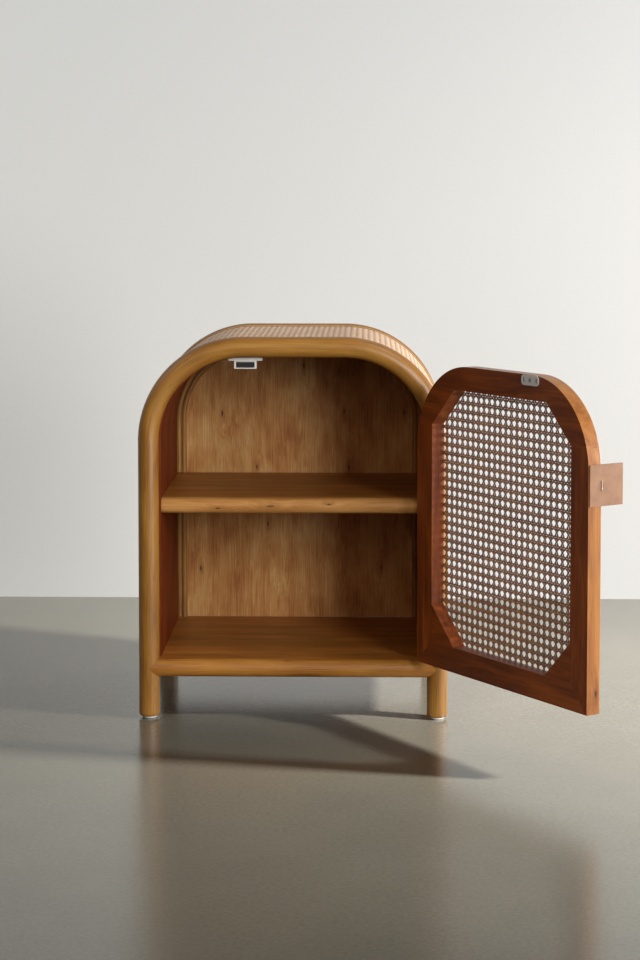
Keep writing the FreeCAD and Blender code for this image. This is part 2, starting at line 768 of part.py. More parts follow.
def make_walls():
    """Linings inside, boards outside, cane over the boards and bindings along its edges."""
    lining_y = "0 - lining_end_y", "lining_end_y"
    foot = "floor_board_top_z + glue_gap"
    lining = arch_ring("lining_sheet", "0 - lining_inset", "lining_outer", foot, lining_y)
    holes = shelf_dowels("lining_bore", "running_gap") + catch_screws("lining_pilot", "running_gap")
    slice_wall("lining", lining, lining_y, holes)
    board_y = "0 - board_end_y", "board_end_y"
    board = arch_ring("board_sheet", "board_inner", "board_out", "board_foot_z", board_y)
    slice_wall("outer_board", board, board_y)
    covering_y = "0 - covering_end_y", "covering_end_y"
    layer = "covering_inner", "covering_outer"
    node(arch_ring("covering_sheet", *layer, "board_foot_z", covering_y), "cane_covering")
    near = "binding_end_y - binding_width"
    strips = {"front": ("0 - binding_end_y", f"0 - ({near})"), "back": (near, "binding_end_y")}
    for end, y in strips.items():
        strip = arch_ring(end + "_strip", "binding_inner", "binding_outer", "board_foot_z", y)
        node(strip, end + "_binding")
    far = f"{near} - glue_gap"
    end_y = f"0 - ({far})", far
    end_z = "board_foot_z", "board_foot_z + end_binding_width"
    left_x = "0 - leg_x - binding_outer", "0 - leg_x - binding_inner"
    right_x = "leg_x + binding_inner", "leg_x + binding_outer"
    ends = [box("left_end_strip", left_x, end_y, end_z), box("right_end_strip", right_x, end_y, end_z)]
    node(group("end_bindings", *ends), "end_bindings")


def make_middle_shelf():
    """Shelf board doweled between the linings, with a rounded nosing glued to its front."""
    shelf_x = "0 - shelf_end_x", "shelf_end_x"
    board_y = "nosing_back_y + glue_gap", "shelf_back_y"
    board = box("shelf_board", shelf_x, board_y, ("shelf_low_z", "middle_shelf_top"))
    node(cut("middle_shelf", board, *shelf_dowels("shelf_bore", "running_gap")), "middle_shelf")
    profile = rectangle(shelf_x, ("middle_shelf_top - nosing_height", "middle_shelf_top"))
    nosing = prism("nosing_bar", profile, ("nosing_front_y", "nosing_back_y"))
    front = number("nosing_front_y") + 0.001
    round_edges(
        nosing,
        "nosing_rounding",
        "nosing_height / 2 - glue_gap",
        lambda edge: edge.BoundBox.YMax < front and edge.BoundBox.XLength > 1,
    )
    node(nosing, "middle_shelf_nosing")
    node(group("shelf_dowels", *shelf_dowels("shelf_dowel")), "shelf_dowels")


def make_back():
    """Back panel inside the back hoop, framed by a moulding with two reeds."""
    radius, foot = "arch_radius + panel_edge", "rail_crest_z + fit_gap"
    panel_y = "panel_front_y", "panel_front_y + back_panel_thickness"
    node(arch_panel("panel_board", "0 - arc_x", "arc_x", radius, foot, panel_y), "back_panel")
    plane = "panel_front_y - glue_gap"
    base_y = "panel_front_y - moulding_base", plane
    base = arch_ring("moulding_strip", "wide_reed_at", "panel_edge", foot, base_y)
    behind = box(
        "behind_moulding",
        ("0 - leg_spacing", "leg_spacing"),
        (plane, "panel_front_y + pole_diameter"),
        ("0", "frame_height"),
    )
    reeds = []
    for which in ("narrow", "wide"):
        bar = arch_pipe(which + "_rod", which + "_reed_at", plane, f"{which}_reed_diameter / 2", foot)
        reeds.append(cut(which + "_reed", bar, behind))
    node(fuse("back_moulding", base, *reeds), "back_moulding")


def make_catch():
    """Magnetic catch under the arch: eared housing, magnet, two keeper plates, two screws."""
    left, right = "0 - catch_offset - ", "0 - catch_offset + "
    corners = [
        (left + "catch_width / 2", "catch_bottom_z"),
        (right + "catch_width / 2", "catch_bottom_z"),
        (right + "catch_width / 2", "ear_bottom_z"),
        (right + "catch_ear_span / 2", "ear_bottom_z"),
        (right + "catch_ear_span / 2", "catch_top_z"),
        (left + "catch_ear_span / 2", "catch_top_z"),
        (left + "catch_ear_span / 2", "ear_bottom_z"),
        (left + "catch_width / 2", "ear_bottom_z"),
    ]
    block_y = "catch_front_y", "catch_back_y"
    lining = "0 - lining_inset - glue_gap", "lining_outer", "spring_z - lining_thickness"
    block = prism("catch_block", corners, block_y)
    block = cut("catch_on_lining", block, arch_ring("catch_seat", *lining, block_y))
    cavity = box(
        "catch_cavity",
        (left + "slot_half", right + "slot_half"),
        ("catch_front_y - 1", "slot_back_y"),
        ("slot_low_z", "slot_high_z"),
    )
    holes = catch_screws("ear_hole", "running_gap")
    node(cut("catch_housing", block, cavity, *holes), "catch_housing")
    plate_x = left + "slot_half + glue_gap", right + "slot_half - glue_gap"
    plate_y = "keeper_front_y", "slot_back_y - glue_gap"
    low, high = "slot_low_z + glue_gap", "slot_high_z - glue_gap"
    keepers = [
        box("lower_keeper", plate_x, plate_y, (low, f"{low} + keeper_thickness")),
        box("upper_keeper", plate_x, plate_y, (f"{high} - keeper_thickness", high)),
    ]
    node(group("catch_keepers", *keepers), "catch_keepers")
    magnet_z = f"{low} + keeper_thickness + glue_gap", f"{high} - keeper_thickness - glue_gap"
    magnet_y = "catch_front_y + magnet_recess", "slot_back_y - glue_gap"
    node(box("catch_magnet", plate_x, magnet_y, magnet_z), "catch_magnet")
    node(group("catch_screws", *catch_screws("catch_screw")), "catch_screws")


# ---------------------------------------------------------------------------------------------
# Hinges
# ---------------------------------------------------------------------------------------------
def barrel(name, low, high):
    """A length of the hinge barrel, on the pin's axis."""
    return rod(name, "barrel_diameter / 2", f"({high}) - ({low})", ("0", "0", low))


def pin_bore(name, height):
    """Room for the pin, on its axis."""
    radius = "hinge_pin_diameter / 2 + running_gap"
    return rod(name, radius, "2 * hinge_height", ("0", "0", f"{height} - hinge_height"))


def leg_leaf(which, height):
    """The leaf screwed to the leg: a plate with the two outer knuckles of the barrel."""
    low, high = f"{height} - hinge_height / 2", f"{height} + hinge_height / 2"
    leaf_x = "leg_leaf_x", "leg_leaf_back_x"
    parts = [box(which + "_leg_plate", leaf_x, ("leaf_neck", "leaf_width"), (low, high))]
    knuckles = (low, f"{height} - knuckle_end"), (f"{height} + knuckle_end", high)
    for i, z in enumerate(knuckles):
        parts.append(barrel(f"{which}_leg_knuckle_{i}", *z))
        parts.append(box(f"{which}_leg_neck_{i}", leaf_x, ("0", "leaf_neck"), z))
    shape = fuse(which + "_leg_leaf", *parts)
    shape = cut(which + "_leg_leaf_bored", shape, pin_bore(which + "_leg_leaf_bore", height))
    move(shape, "hinge_x", "hinge_y", "0")
    holes = leg_leaf_screws(which + "_leg_leaf_hole", height, "running_gap")
    node(cut(which + "_fixed_leaf", shape, *holes), which + "_hinge_fixed_leaf")


def door_leaf(which, height):
    """The leaf let into the door's edge, bent round its front to the middle knuckle."""
    middle = f"{height} - middle_knuckle / 2", f"{height} + middle_knuckle / 2"
    whole = f"{height} - hinge_height / 2", f"{height} + hinge_height / 2"
    plate_x, bend_y = ("door_leaf_x", "edge_x"), "front_y + door_edge_rounding"
    web_x = "door_leaf_x", "0 - barrel_diameter / 4 - running_gap"
    parts = [
        box(which + "_door_plate", plate_x, (bend_y, "leaf_width"), whole),
        box(which + "_door_neck", plate_x, ("web_front_y", bend_y), middle),
        box(which + "_door_web", web_x, ("web_front_y", "web_back_y"), middle),
        barrel(which + "_door_knuckle", *middle),
    ]
    holes = door_leaf_screws(which + "_door_leaf_hole", height, "running_gap")
    bore = pin_bore(which + "_door_leaf_bore", height)
    shape = cut(which + "_moving_leaf", fuse(which + "_door_leaf", *parts), bore, *holes)
    hang(shape, which + "_hinge_door_leaf")


def hinge_pin(which, height):
    """Pin with a head at each end, held by the leg's leaf."""
    low = f"{height} - hinge_height / 2 - running_gap"
    high = f"{height} + hinge_height / 2 + running_gap"
    radius, head = "hinge_pin_diameter / 2", ("pin_head_diameter / 2", "pin_head_height")
    parts = [
        rod(which + "_pin_shank", radius, f"({high}) - ({low})", ("hinge_x", "hinge_y", low)),
        rod(which + "_pin_foot", *head, ("hinge_x", "hinge_y", f"{low} - pin_head_height")),
        rod(which + "_pin_head", *head, ("hinge_x", "hinge_y", high)),
    ]
    node(fuse(which + "_pin", *parts), which + "_hinge_pin")


def make_hinges():
    """Two butt hinges and their screws."""
    leg_screws, door_screws = [], []
    for which, height in HINGES:
        leg_leaf(which, height)
        door_leaf(which, height)
        hinge_pin(which, height)
        leg_screws += leg_leaf_screws(which + "_leg_screw", height)
        door_screws += door_leaf_screws(which + "_door_screw", height)
    node(group("hinge_leg_screws", *leg_screws), "hinge_leg_screws")
    hang(group("hinge_door_screws", *door_screws), "hinge_door_screws")


# ---------------------------------------------------------------------------------------------
# Door, drawn closed in its own axes and hung open
# ---------------------------------------------------------------------------------------------
def octagon(out):
    """The door's opening, a rectangle with cut corners, grown by a distance."""
    low_x, high_x = f"opening_free_x - ({out})", f"opening_edge_x + ({out})"
    low_z, high_z = f"opening_low_z - ({out})", f"opening_high_z + ({out})"
    snip = f"(corner_chamfer + (2 - sqrt(2)) * ({out}))"
    return [
        (f"{low_x} + {snip}", low_z),
        (f"{high_x} - {snip}", low_z),
        (high_x, f"{low_z} + {snip}"),
        (high_x, f"{high_z} - {snip}"),
        (f"{high_x} - {snip}", high_z),
        (f"{low_x} + {snip}", high_z),
        (low_x, f"{high_z} - {snip}"),
        (low_x, f"{low_z} + {snip}"),
    ]


def door_frame():
    """The whole frame in one piece, before it is parted into its members."""
    centres = "0 - arc_x - hinge_x", "arc_x - hinge_x"
    radius = "arch_radius - pole_radius - door_gap"
    body = arch_panel("door_blank", *centres, radius, "door_bottom_z", ("front_y", "inner_y"))
    front = number("front_y") + 0.001
    round_edges(body, "door_arris", "door_edge_rounding", lambda edge: edge.BoundBox.YMax < front)
    groove = octagon("cane_lip + groove_width"), octagon("cane_lip")
    carve(body, "door_opening", [octagon("0")], "front_y", "2 * door_thickness")
    carve(body, "cane_seat", [octagon("cane_lip")], "front_y", "cane_back_y - front_y")
    carve(body, "spline_groove", groove, "front_y", "groove_depth")
    tools = [strike_plate_screw("strike_pilot", "running_gap")]
    tools.append(staple("staple_hole", "running_gap"))
    for which, height in HINGES:
        seat_x = "door_leaf_x - glue_gap", "edge_x + 1"
        seat_y = "front_y - 1", "leaf_width + fit_gap"
        seat_z = f"{height} - hinge_height / 2 - fit_gap", f"{height} + hinge_height / 2 + fit_gap"
        tools.append(box(which + "_door_seat", seat_x, seat_y, seat_z))
        tools += door_leaf_screws(which + "_door_pilot", height, "running_gap")
    return cut("door_frame", body, *tools)


def make_door_frame():
    """Part the frame: mitred stiles and bottom rail, shoulders, top rail, two corner blocks."""
    frame = door_frame()
    hinge_side = "opening_edge_x - corner_chamfer"
    free_side = "opening_free_x + corner_chamfer"
    shoulder = "shoulder_z", "opening_high_z"
    members = {
        "door_hinge_stile": [
            ("edge_x", "door_bottom_z"),
            ("edge_x", "shoulder_z"),
            ("opening_edge_x", "shoulder_z"),
            ("opening_edge_x", "opening_low_z"),
        ],
        "door_free_stile": [
            ("free_x", "door_bottom_z"),
            ("opening_free_x", "opening_low_z"),
            ("opening_free_x", "shoulder_z"),
            ("free_x", "shoulder_z"),
        ],
        "door_bottom_rail": [
            ("free_x", "door_bottom_z"),
            ("edge_x", "door_bottom_z"),
            ("opening_edge_x", "opening_low_z"),
            ("opening_free_x", "opening_low_z"),
        ],
        "door_top_rail": rectangle(("free_x", "edge_x"), ("opening_high_z", "door_top_z")),
        "door_hinge_shoulder": rectangle((hinge_side, "edge_x"), shoulder),
        "door_free_shoulder": rectangle(("free_x", free_side), shoulder),
        "door_hinge_corner_block": [
            (hinge_side, "opening_low_z"),
            ("opening_edge_x", "opening_low_z"),
            ("opening_edge_x", "opening_low_z + corner_chamfer"),
        ],
        "door_free_corner_block": [
            ("opening_free_x", "opening_low_z"),
            (free_side, "opening_low_z"),
            ("opening_free_x", "opening_low_z + corner_chamfer"),
        ],
    }
    for name, points in members.items():
        room = prism(name + "_room", points, ("front_y", "inner_y"))
        hang(common(name + "_slice", frame, room), name)


def strand_gaps(name, centres, turn):
    """Slots between parallel strands, turned about the middle of the opening."""
    width, depth = number("strand_width"), number("2 * door_thickness")
    reach = number("opening_high_z - opening_low_z")
    middle = V(number("(opening_free_x + opening_edge_x) / 2"), 0, number("opening_middle_z"))
    slots = []
    for left, right in zip(centres, centres[1:]):
        corner = V(left + width / 2, number("front_y") - 1, -reach)
        slot = Part.makeBox(right - left - width, depth, 2 * reach, corner)
        slot.rotate(V(), V(0, 1, 0), turn)
        slot.translate(middle)
        slots.append(slot)
    item = doc.addObject("Part::Feature", name)
    item.Shape = Part.makeCompound(slots)
    return item


def make_cane():
    """Door panel: four layers of strands, each with a rim, and the spline in the groove."""
    pitch, spread = number("cane_pitch"), number("pair_spacing") / 2
    count = int(number("opening_high_z - opening_low_z") / pitch)
    steps = range(-count, count + 1)
    pairs = [i * pitch + side * spread for i in steps for side in (-1, 1)]
    slants = [(i + 0.5) * pitch / 2**0.5 for i in steps]
    layers = {
        "cane_uprights": (pairs, 0),
        "cane_crossbars": (pairs, 90),
        "cane_left_diagonals": (slants, 45),
        "cane_right_diagonals": (slants, -45),
    }
    for i, (name, (centres, turn)) in enumerate(layers.items()):
        back = f"cane_back_y - {i + 1} * glue_gap - {i} * layer_thickness"
        front = f"{back} - layer_thickness"
        plate = prism(name + "_plate", octagon("cane_lip - glue_gap"), (front, back))
        field = prism(name + "_field", octagon("0"), (f"{front} - 1", f"{back} + 1"))
        slots = common(name + "_slots", strand_gaps(name + "_gaps", centres, turn), field)
        hang(cut(name + "_layer", plate, slots), name)
    bottom = "front_y + groove_depth - glue_gap"
    top = f"{bottom} - spline_height"
    ring = prism("spline_ring", octagon("cane_lip + groove_width - fit_gap"), (top, bottom))
    carve(ring, "spline_middle", [octagon("cane_lip + fit_gap")], top, "2 * spline_height")
    hang(ring, "cane_spline")


def make_strike():
    """Steel strike plate with rounded corners, two slots and a screw."""
    half_x, half_z = "strike_length / 2", "strike_height / 2"
    profile = rectangle(
        (f"strike_x - {half_x}", f"strike_x + {half_x}"),
        (f"strike_z - {half_z}", f"strike_z + {half_z}"),
    )
    plate = prism("strike_blank", profile, ("inner_y + glue_gap", "strike_face_y"))
    round_edges(
        plate,
        "strike_corners",
        "strike_corner",
        lambda edge: edge.BoundBox.YLength > 0.5 * edge.Length,
    )
    radius = "strike_slot_width / 2"
    reach = "(strike_slot_height - strike_slot_width) / 2"
    through = "inner_y - 1", "strike_face_y + 1"
    tools = [strike_plate_screw("strike_hole", "running_gap")]
    for side, sx in SIDES:
        x = f"(strike_x + {sx} * ({half_x} - strike_corner))"
        for i, sz in enumerate((MINUS, PLUS)):
            at = x, through[1], f"strike_z + {sz} * {reach}"
            tools.append(rod(f"strike_slot_{side}_{i}", radius, "strike_thickness + 2", at, "-y"))
        slot_x = f"{x} - {radius}", f"{x} + {radius}"
        slot_z = f"strike_z - {reach}", f"strike_z + {reach}"
        tools.append(box("strike_slot_" + side, slot_x, through, slot_z))
    hang(cut("strike", plate, *tools), "strike_plate")
    hang(strike_plate_screw("strike_plate_screw"), "strike_screw")


def make_pull():
    """Leather pull: a strip folded in front of the door, one end stapled to the door's edge."""
    z = "pull_low_z", "pull_high_z"
    outer_x = "leather_x - leather_thickness", "leather_x"
    inner_x = "leather_x + fold_gap", "leather_x + fold_gap + leather_thickness"
    outer = box("pull_outer", outer_x, ("fold_y", "inner_y - pull_margin"), z)
    inner = box("pull_inner", inner_x, ("fold_y", "front_y - fit_gap"), z)
    at = "fold_x", "fold_y", "pull_low_z"
    hollow = rod("pull_fold_hollow", "fold_gap / 2", "pull_length", at)
    ring = cut("pull_fold_ring", rod("pull_fold_rod", "fold_radius", "pull_length", at), hollow)
    ahead_x = "fold_x - pull_reach", "fold_x + pull_reach"
    ahead = box("pull_fold_room", ahead_x, ("fold_y - pull_reach", "fold_y"), z)
    strip = fuse("pull_strip", outer, inner, common("pull_fold", ring, ahead))
    hang(cut("pull_stapled", strip, staple("pull_staple_hole", "running_gap")), "leather_pull")
    hang(staple("staple"), "pull_staple")


make_hoops()
make_glides()
make_rails()
make_floor_board()
make_walls()
make_middle_shelf()
make_back()
make_catch()
make_hinges()
make_door_frame()
make_cane()
make_strike()
make_pull()

# ---------------------------------------------------------------------------------------------
# Check and write
# ---------------------------------------------------------------------------------------------
doc.recompute()
for item in doc.Objects:
    broken = [state for state in item.State if state in ("Invalid", "Error")]
    if broken:
        raise RuntimeError(f"{item.Name}: {broken}")
for item in nodes:
    shape = item.Shape
    if shape.isNull() or not shape.isValid() or not shape.Solids:
        raise RuntimeError(f"{item.Label}: no valid solid")

os.makedirs("parts", exist_ok=True)
for item in nodes:
    item.Shape.exportStep(f"parts/{item.Label}.step")
print(len(nodes), "nodes written")
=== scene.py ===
"""Looks of the arched side table: bent rattan poles, woven cane, veneered boards, leather, steel.

Lengths are metres in the model's own axes: x across the front, y from the front to the back, z up,
with the middle of the four feet at the origin. Patterns are laid out in millimetres.
"""

import json
from math import cos, pi, radians, sin, sqrt

import bmesh
import bpy
import numpy as np
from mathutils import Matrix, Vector


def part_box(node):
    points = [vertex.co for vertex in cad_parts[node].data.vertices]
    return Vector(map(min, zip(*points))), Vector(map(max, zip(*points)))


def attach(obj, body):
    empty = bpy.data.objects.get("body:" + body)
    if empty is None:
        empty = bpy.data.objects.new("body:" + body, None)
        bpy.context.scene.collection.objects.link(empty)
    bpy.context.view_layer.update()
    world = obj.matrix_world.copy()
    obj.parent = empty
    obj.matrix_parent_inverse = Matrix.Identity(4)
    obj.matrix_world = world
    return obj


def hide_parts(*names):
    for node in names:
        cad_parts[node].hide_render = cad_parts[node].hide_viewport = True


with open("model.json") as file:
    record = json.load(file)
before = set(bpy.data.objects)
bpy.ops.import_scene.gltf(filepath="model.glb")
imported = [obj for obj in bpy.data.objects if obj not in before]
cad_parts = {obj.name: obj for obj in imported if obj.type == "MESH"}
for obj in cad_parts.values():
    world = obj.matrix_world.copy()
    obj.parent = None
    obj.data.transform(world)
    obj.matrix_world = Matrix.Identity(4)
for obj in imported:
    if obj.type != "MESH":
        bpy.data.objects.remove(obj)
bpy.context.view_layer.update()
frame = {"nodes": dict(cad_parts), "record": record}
RECORD = frame["record"]
MM = 0.001

# ---------------------------------------------------------------------------------------------
# Measures, taken from the frame where it has them
# ---------------------------------------------------------------------------------------------
hoop_low, hoop_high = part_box("front_hoop")
POLE_RADIUS = (hoop_high.y - hoop_low.y) / 2
LEG_X = hoop_high.x - POLE_RADIUS
HOOP_Y = -(hoop_low.y + hoop_high.y) / 2
FOOT_Z = hoop_low.z
ARCH_RADIUS = 137 * MM  # of the poles' centre line
ARC_X = LEG_X - ARCH_RADIUS
SPRING_Z = hoop_high.z - POLE_RADIUS - ARCH_RADIUS
FOOT_ROUNDING = 4 * MM
ARCH_RUN = 2 * (SPRING_Z - FOOT_Z + pi / 2 * ARCH_RADIUS + ARC_X)

DOOR_HINGE = RECORD["behaviour"]["joints"][0]
HINGE = DOOR_HINGE["pos_m"]
DOOR_TURN = radians(-DOOR_HINGE["range_deg"][0])  # the range's low end is the closed door
DOOR_FRONT = 1.0 * MM  # the closed door's front lies this far behind its hinge pins
OPENING = np.array([-353, -41, 127, 491]) * MM  # left, right, low, high, with the door closed
OPENING_CORNER = 53 * MM
CANE_LIP = 3.9 * MM  # how far the cane runs on past the opening, over the rebate
CANE_MIDDLE = np.array([-197, 309]) * MM
CANE_DEPTH = 1.12 * MM  # from the door's front to the middle of the weave
CANE_PITCH = 12.5 * MM
COVER_PITCH = CANE_PITCH * 2 / 3
PAIR_SPREAD = 0.104  # half the gap between a pair's strands over the pitch
STRAND_HALF_WIDTH = 0.075  # over the pitch
STRAND_STEP = 11 * MM  # how far apart neighbouring strands lie in their finish's own places
SHORTEST_STRAND = 1 * MM
# A weave's heights are the pairs' lift, the diagonals' lift and the strands' thickness.
CANE_HEIGHTS = np.array([0.24, 0.66, 0.4]) * MM
COVER_HEIGHTS = np.array([0.0, 0.28, 0.26]) * MM
# How many millimetres each direction of the covering lies over the boards
COVER_LEVEL = {"uprights": 0.68, "crossbars": 0.56, "left": 0.62, "right": 0.62}

LEAF_SEAT = 1.25 * MM  # a hinge leaf's seat in the leg lies this far behind the screw heads
SEAT_ROOM = 0.2 * MM  # above and below a hinge leaf
PULL_FACE_X = -391.05 * MM  # the pull's outer face on the closed door

MERGE_GAP = 2e-6  # points nearer than this are one point
FLAT_ANGLE = radians(0.4)  # faces that meet flatter than this are one face
EDGE_ANGLE = radians(32)  # an edge that turns more than this is rounded off

BODY_OF = {node: body for body, nodes in RECORD["behaviour"]["bodies"].items() for node in nodes}
SLOT_OF = {part["node"]: part["material_slot"] for part in RECORD["subparts"]}


# ---------------------------------------------------------------------------------------------
# Surfaces
# ---------------------------------------------------------------------------------------------
def arch(run, out):
    """Points x, z at a run along the poles' centre line and a height out from it.

    The run starts at the left foot: a straight leg, a quarter arc, half of the top, then the same
    mirrored. A leg points out along x; on an arc the outward direction turns by run over radius.
    """
    rise, quarter = SPRING_Z - FOOT_Z, pi / 2 * ARCH_RADIUS
    half = rise + quarter + ARC_X
    side = np.where(run < half, -1.0, 1.0)
    along = np.minimum(run, 2 * half - run)
    turn = np.clip((along - rise) / ARCH_RADIUS, 0, pi / 2)
    reach = ARCH_RADIUS + out
    x = side * (ARC_X + reach * np.cos(turn) - np.maximum(along - rise - quarter, 0))
    z = FOOT_Z + np.minimum(along, rise) + reach * np.sin(turn)
    return x, z


def laid_on_arch(points):
    """Places as height out from the poles' centre line, y, and run along it: arch() backwards."""
    x, y, z = points.T
    across, above = np.maximum(abs(x) - ARC_X, 0), np.maximum(z - SPRING_Z, 0)
    out = np.hypot(across, above) - ARCH_RADIUS
    run = np.minimum(z, SPRING_Z) - FOOT_Z + ARCH_RADIUS * np.arctan2(above, across)
    run = run + np.maximum(ARC_X - abs(x), 0)
    return np.stack([out, y, np.where(x < 0, run, ARCH_RUN - run)], axis=1)


def laid_along(axis):
    """Places with the grain's axis moved to the last column: "x", "y" or "z" of the model."""
    order = {"x": (1, 2, 0), "y": (0, 2, 1), "z": (0, 1, 2)}[axis]
    return lambda points: points[:, order]


def to_world(points):
    """Points of the closed door, from its hinge pins, turned open and set on the hinge."""
    x, y, z = points[..., 0], points[..., 1], points[..., 2]
    c, s = cos(DOOR_TURN), sin(DOOR_TURN)
    return np.stack([HINGE[0] + c * x - s * y, HINGE[1] + s * x + c * y, z], axis=-1)


def to_door(points):
    """Points of the open door as if it were closed, from its hinge pins: to_world() backwards."""
    x, y, z = points[..., 0] - HINGE[0], points[..., 1] - HINGE[1], points[..., 2]
    c, s = cos(DOOR_TURN), sin(DOOR_TURN)
    return np.stack([c * x + s * y, c * y - s * x, z], axis=-1)


def laid_on_door(axis):
    """Places on the door with the grain's axis of the closed door moved to the last column."""
    order = {"x": (1, 2, 0), "z": (0, 1, 2)}[axis]
    return lambda points: to_door(points)[:, order]


def outer_faces(centres, normals):
    """One for the door's front and rim, nought for its inner face and the sides of its opening.

    A rim face looks away from the opening's middle and a front face looks along the closed door's
    negative y; both are read in the closed door's own axes.
    """
    # The ones take the lighter rim colours of the door's finish: painted light.
    zero = to_door(np.zeros((1, 3)))
    facing = to_door(normals) - zero
    place_at = to_door(centres)
    away = facing[:, 0] * (place_at[:, 0] - CANE_MIDDLE[0])
    away = away + facing[:, 2] * (place_at[:, 2] - CANE_MIDDLE[1])
    return ((facing[:, 1] < -0.5) | ((abs(facing[:, 1]) < 0.5) & (away > 0))).astype(np.float32)


def set_laid(mesh, laid):
    """Store where each vertex lies in its own material, grain last, as the attribute "laid"."""
    attribute = mesh.attributes.new("laid", "FLOAT_VECTOR", "POINT")
    attribute.data.foreach_set("vector", np.ascontiguousarray(laid, np.float32).ravel())


def place(piece, body, slot, finish, *nodes):
    """Give a piece its finish, the body that it rides on and the CAD nodes that it stands for."""
    piece.data.materials.clear()
    piece.data.materials.append(finish)
    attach(piece, body)
    if nodes:
        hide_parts(*nodes)
    return piece


def skin(name, points, laid=None, sharp=40):
    """A surface from grids of points, shaped [..., rows, columns, 3].

    Neighbours in a grid are joined by quads, and rows or columns that meet are merged, which closes
    seams and poles. Normals are turned outwards. An edge over the sharp angle, in degrees, is kept.
    """
    rows, columns = points.shape[-3:-1]
    corner = np.arange(points.size // 3).reshape(-1, rows, columns)
    near, far = corner[:, :-1], corner[:, 1:]
    quads = np.stack([near[..., :-1], far[..., :-1], far[..., 1:], near[..., 1:]], axis=-1)
    mesh = bpy.data.meshes.new(name)
    mesh.vertices.add(corner.size)
    mesh.vertices.foreach_set("co", points.astype(np.float32).ravel())
    mesh.loops.add(quads.size)
    mesh.loops.foreach_set("vertex_index", quads.astype(np.int32).ravel())
    mesh.polygons.add(quads.size // 4)
    mesh.polygons.foreach_set("loop_start", np.arange(0, quads.size, 4, dtype=np.int32))
    mesh.update(calc_edges=True)
    if laid is not None:
        set_laid(mesh, laid.reshape(-1, 3))
    work = bmesh.new()
    work.from_mesh(mesh)
    bmesh.ops.remove_doubles(work, verts=work.verts, dist=MERGE_GAP)
    bmesh.ops.recalc_face_normals(work, faces=work.faces)
    work.to_mesh(mesh)
    work.free()
    mesh.shade_smooth()
    mesh.set_sharp_from_angle(angle=radians(sharp))
    piece = bpy.data.objects.new(name, mesh)
    bpy.context.scene.collection.objects.link(piece)
    return piece


def eased(node, finish, laid, width=0.5 * MM, segments=2, outer=None):
    """A piece with a node's shape, its triangles merged into clean faces and its edges rounded.

    Laid gives the places for the finish. Outer tells a finish's outside from its inside, by face.
    """
    mesh = frame["nodes"][node].data.copy()
    if "custom_normal" in mesh.attributes:
        mesh.attributes.remove(mesh.attributes["custom_normal"])
    work = bmesh.new()
    work.from_mesh(mesh)
    bmesh.ops.remove_doubles(work, verts=work.verts, dist=MERGE_GAP)
    bmesh.ops.dissolve_limit(work, angle_limit=FLAT_ANGLE, verts=work.verts, edges=work.edges)
    work.to_mesh(mesh)
    work.free()
    places = np.empty(len(mesh.vertices) * 3, np.float32)
    mesh.vertices.foreach_get("co", places)
    set_laid(mesh, laid(places.reshape(-1, 3)))
    if outer:
        centres, normals = np.empty((2, len(mesh.polygons) * 3), np.float32)
        mesh.polygons.foreach_get("center", centres)
        mesh.polygons.foreach_get("normal", normals)
        side = mesh.attributes.new("outer", "FLOAT", "FACE")
        side.data.foreach_set("value", outer(centres.reshape(-1, 3), normals.reshape(-1, 3)))
    mesh.shade_smooth()
    mesh.set_sharp_from_angle(angle=EDGE_ANGLE)
    piece = bpy.data.objects.new(node + "_finished", mesh)
    bpy.context.scene.collection.objects.link(piece)
    if width:
        bevel = piece.modifiers.new("eased edges", "BEVEL")
        bevel.width = width
        bevel.segments = segments
        bevel.limit_method = "ANGLE"
        bevel.angle_limit = EDGE_ANGLE
        bevel.use_clamp_overlap = True
    return place(piece, BODY_OF[node], SLOT_OF[node], finish, node)


# ---------------------------------------------------------------------------------------------
# Finishes
# ---------------------------------------------------------------------------------------------
def srgb(text):
    """An sRGB hex colour as the linear colour that a shader takes."""
    part = np.array([int(text[i : i + 2], 16) / 255 for i in (1, 3, 5)])
    linear = np.where(part <= 0.04045, part / 12.92, ((part + 0.055) / 1.055) ** 2.4)
    return (*linear, 1.0)


def add(tree, kind, inputs=(), out=0, stops=(), **settings):
    """Add a shader node and give one of its outputs.

    Inputs are values or other nodes' outputs by name or number, and stops are a ramp's places and
    colours.
    """
    node = tree.nodes.new("ShaderNode" + kind)
    for name, value in settings.items():
        setattr(node, name, value)
    for name, value in dict(inputs).items():
        if isinstance(value, bpy.types.NodeSocket):
            tree.links.new(value, node.inputs[name])
        else:
            node.inputs[name].default_value = value
    if stops:
        ramp = node.color_ramp.elements
        while len(ramp) < len(stops):
            ramp.new(1.0)
        for element, (position, colour) in zip(ramp, stops):
            element.position = position
            element.color = srgb(colour)
    return node.outputs[out]


RAGGED_MM = 1.6  # how far a knot's outline strays
KNOT_COLOUR = "#1f0e07"


def new_finish(name):
    """An empty material and its node tree."""
    finish = bpy.data.materials.new(name)
    finish.use_nodes = True
    finish.node_tree.nodes.clear()
    return finish, finish.node_tree


def close(tree, colour, relief, depth_mm, **surface):
    """End a finish: a principled surface with a colour, a relief of a depth, and its own values."""
    inputs = {name.replace("_", " "): value for name, value in surface.items()}
    inputs["Base Color"] = colour
    inputs["Normal"] = add(tree, "Bump", {"Height": relief, "Distance": depth_mm * MM})
    output = tree.nodes.new("ShaderNodeOutputMaterial")
    tree.links.new(add(tree, "BsdfPrincipled", inputs), output.inputs["Surface"])


def laid_mm(tree, along=1.0):
    """The laid place in millimetres, shortened along the grain so that patterns stretch there."""
    where = add(tree, "Attribute", out="Vector", attribute_name="laid")
    return add(tree, "Mapping", {"Vector": where, "Scale": (1000, 1000, 1000 * along)})


def object_mm(tree):
    """The place in the model's axes in millimetres, for patterns with no direction."""
    where = add(tree, "TexCoord", out="Object")
    return add(tree, "Mapping", {"Vector": where, "Scale": (1000, 1000, 1000)})


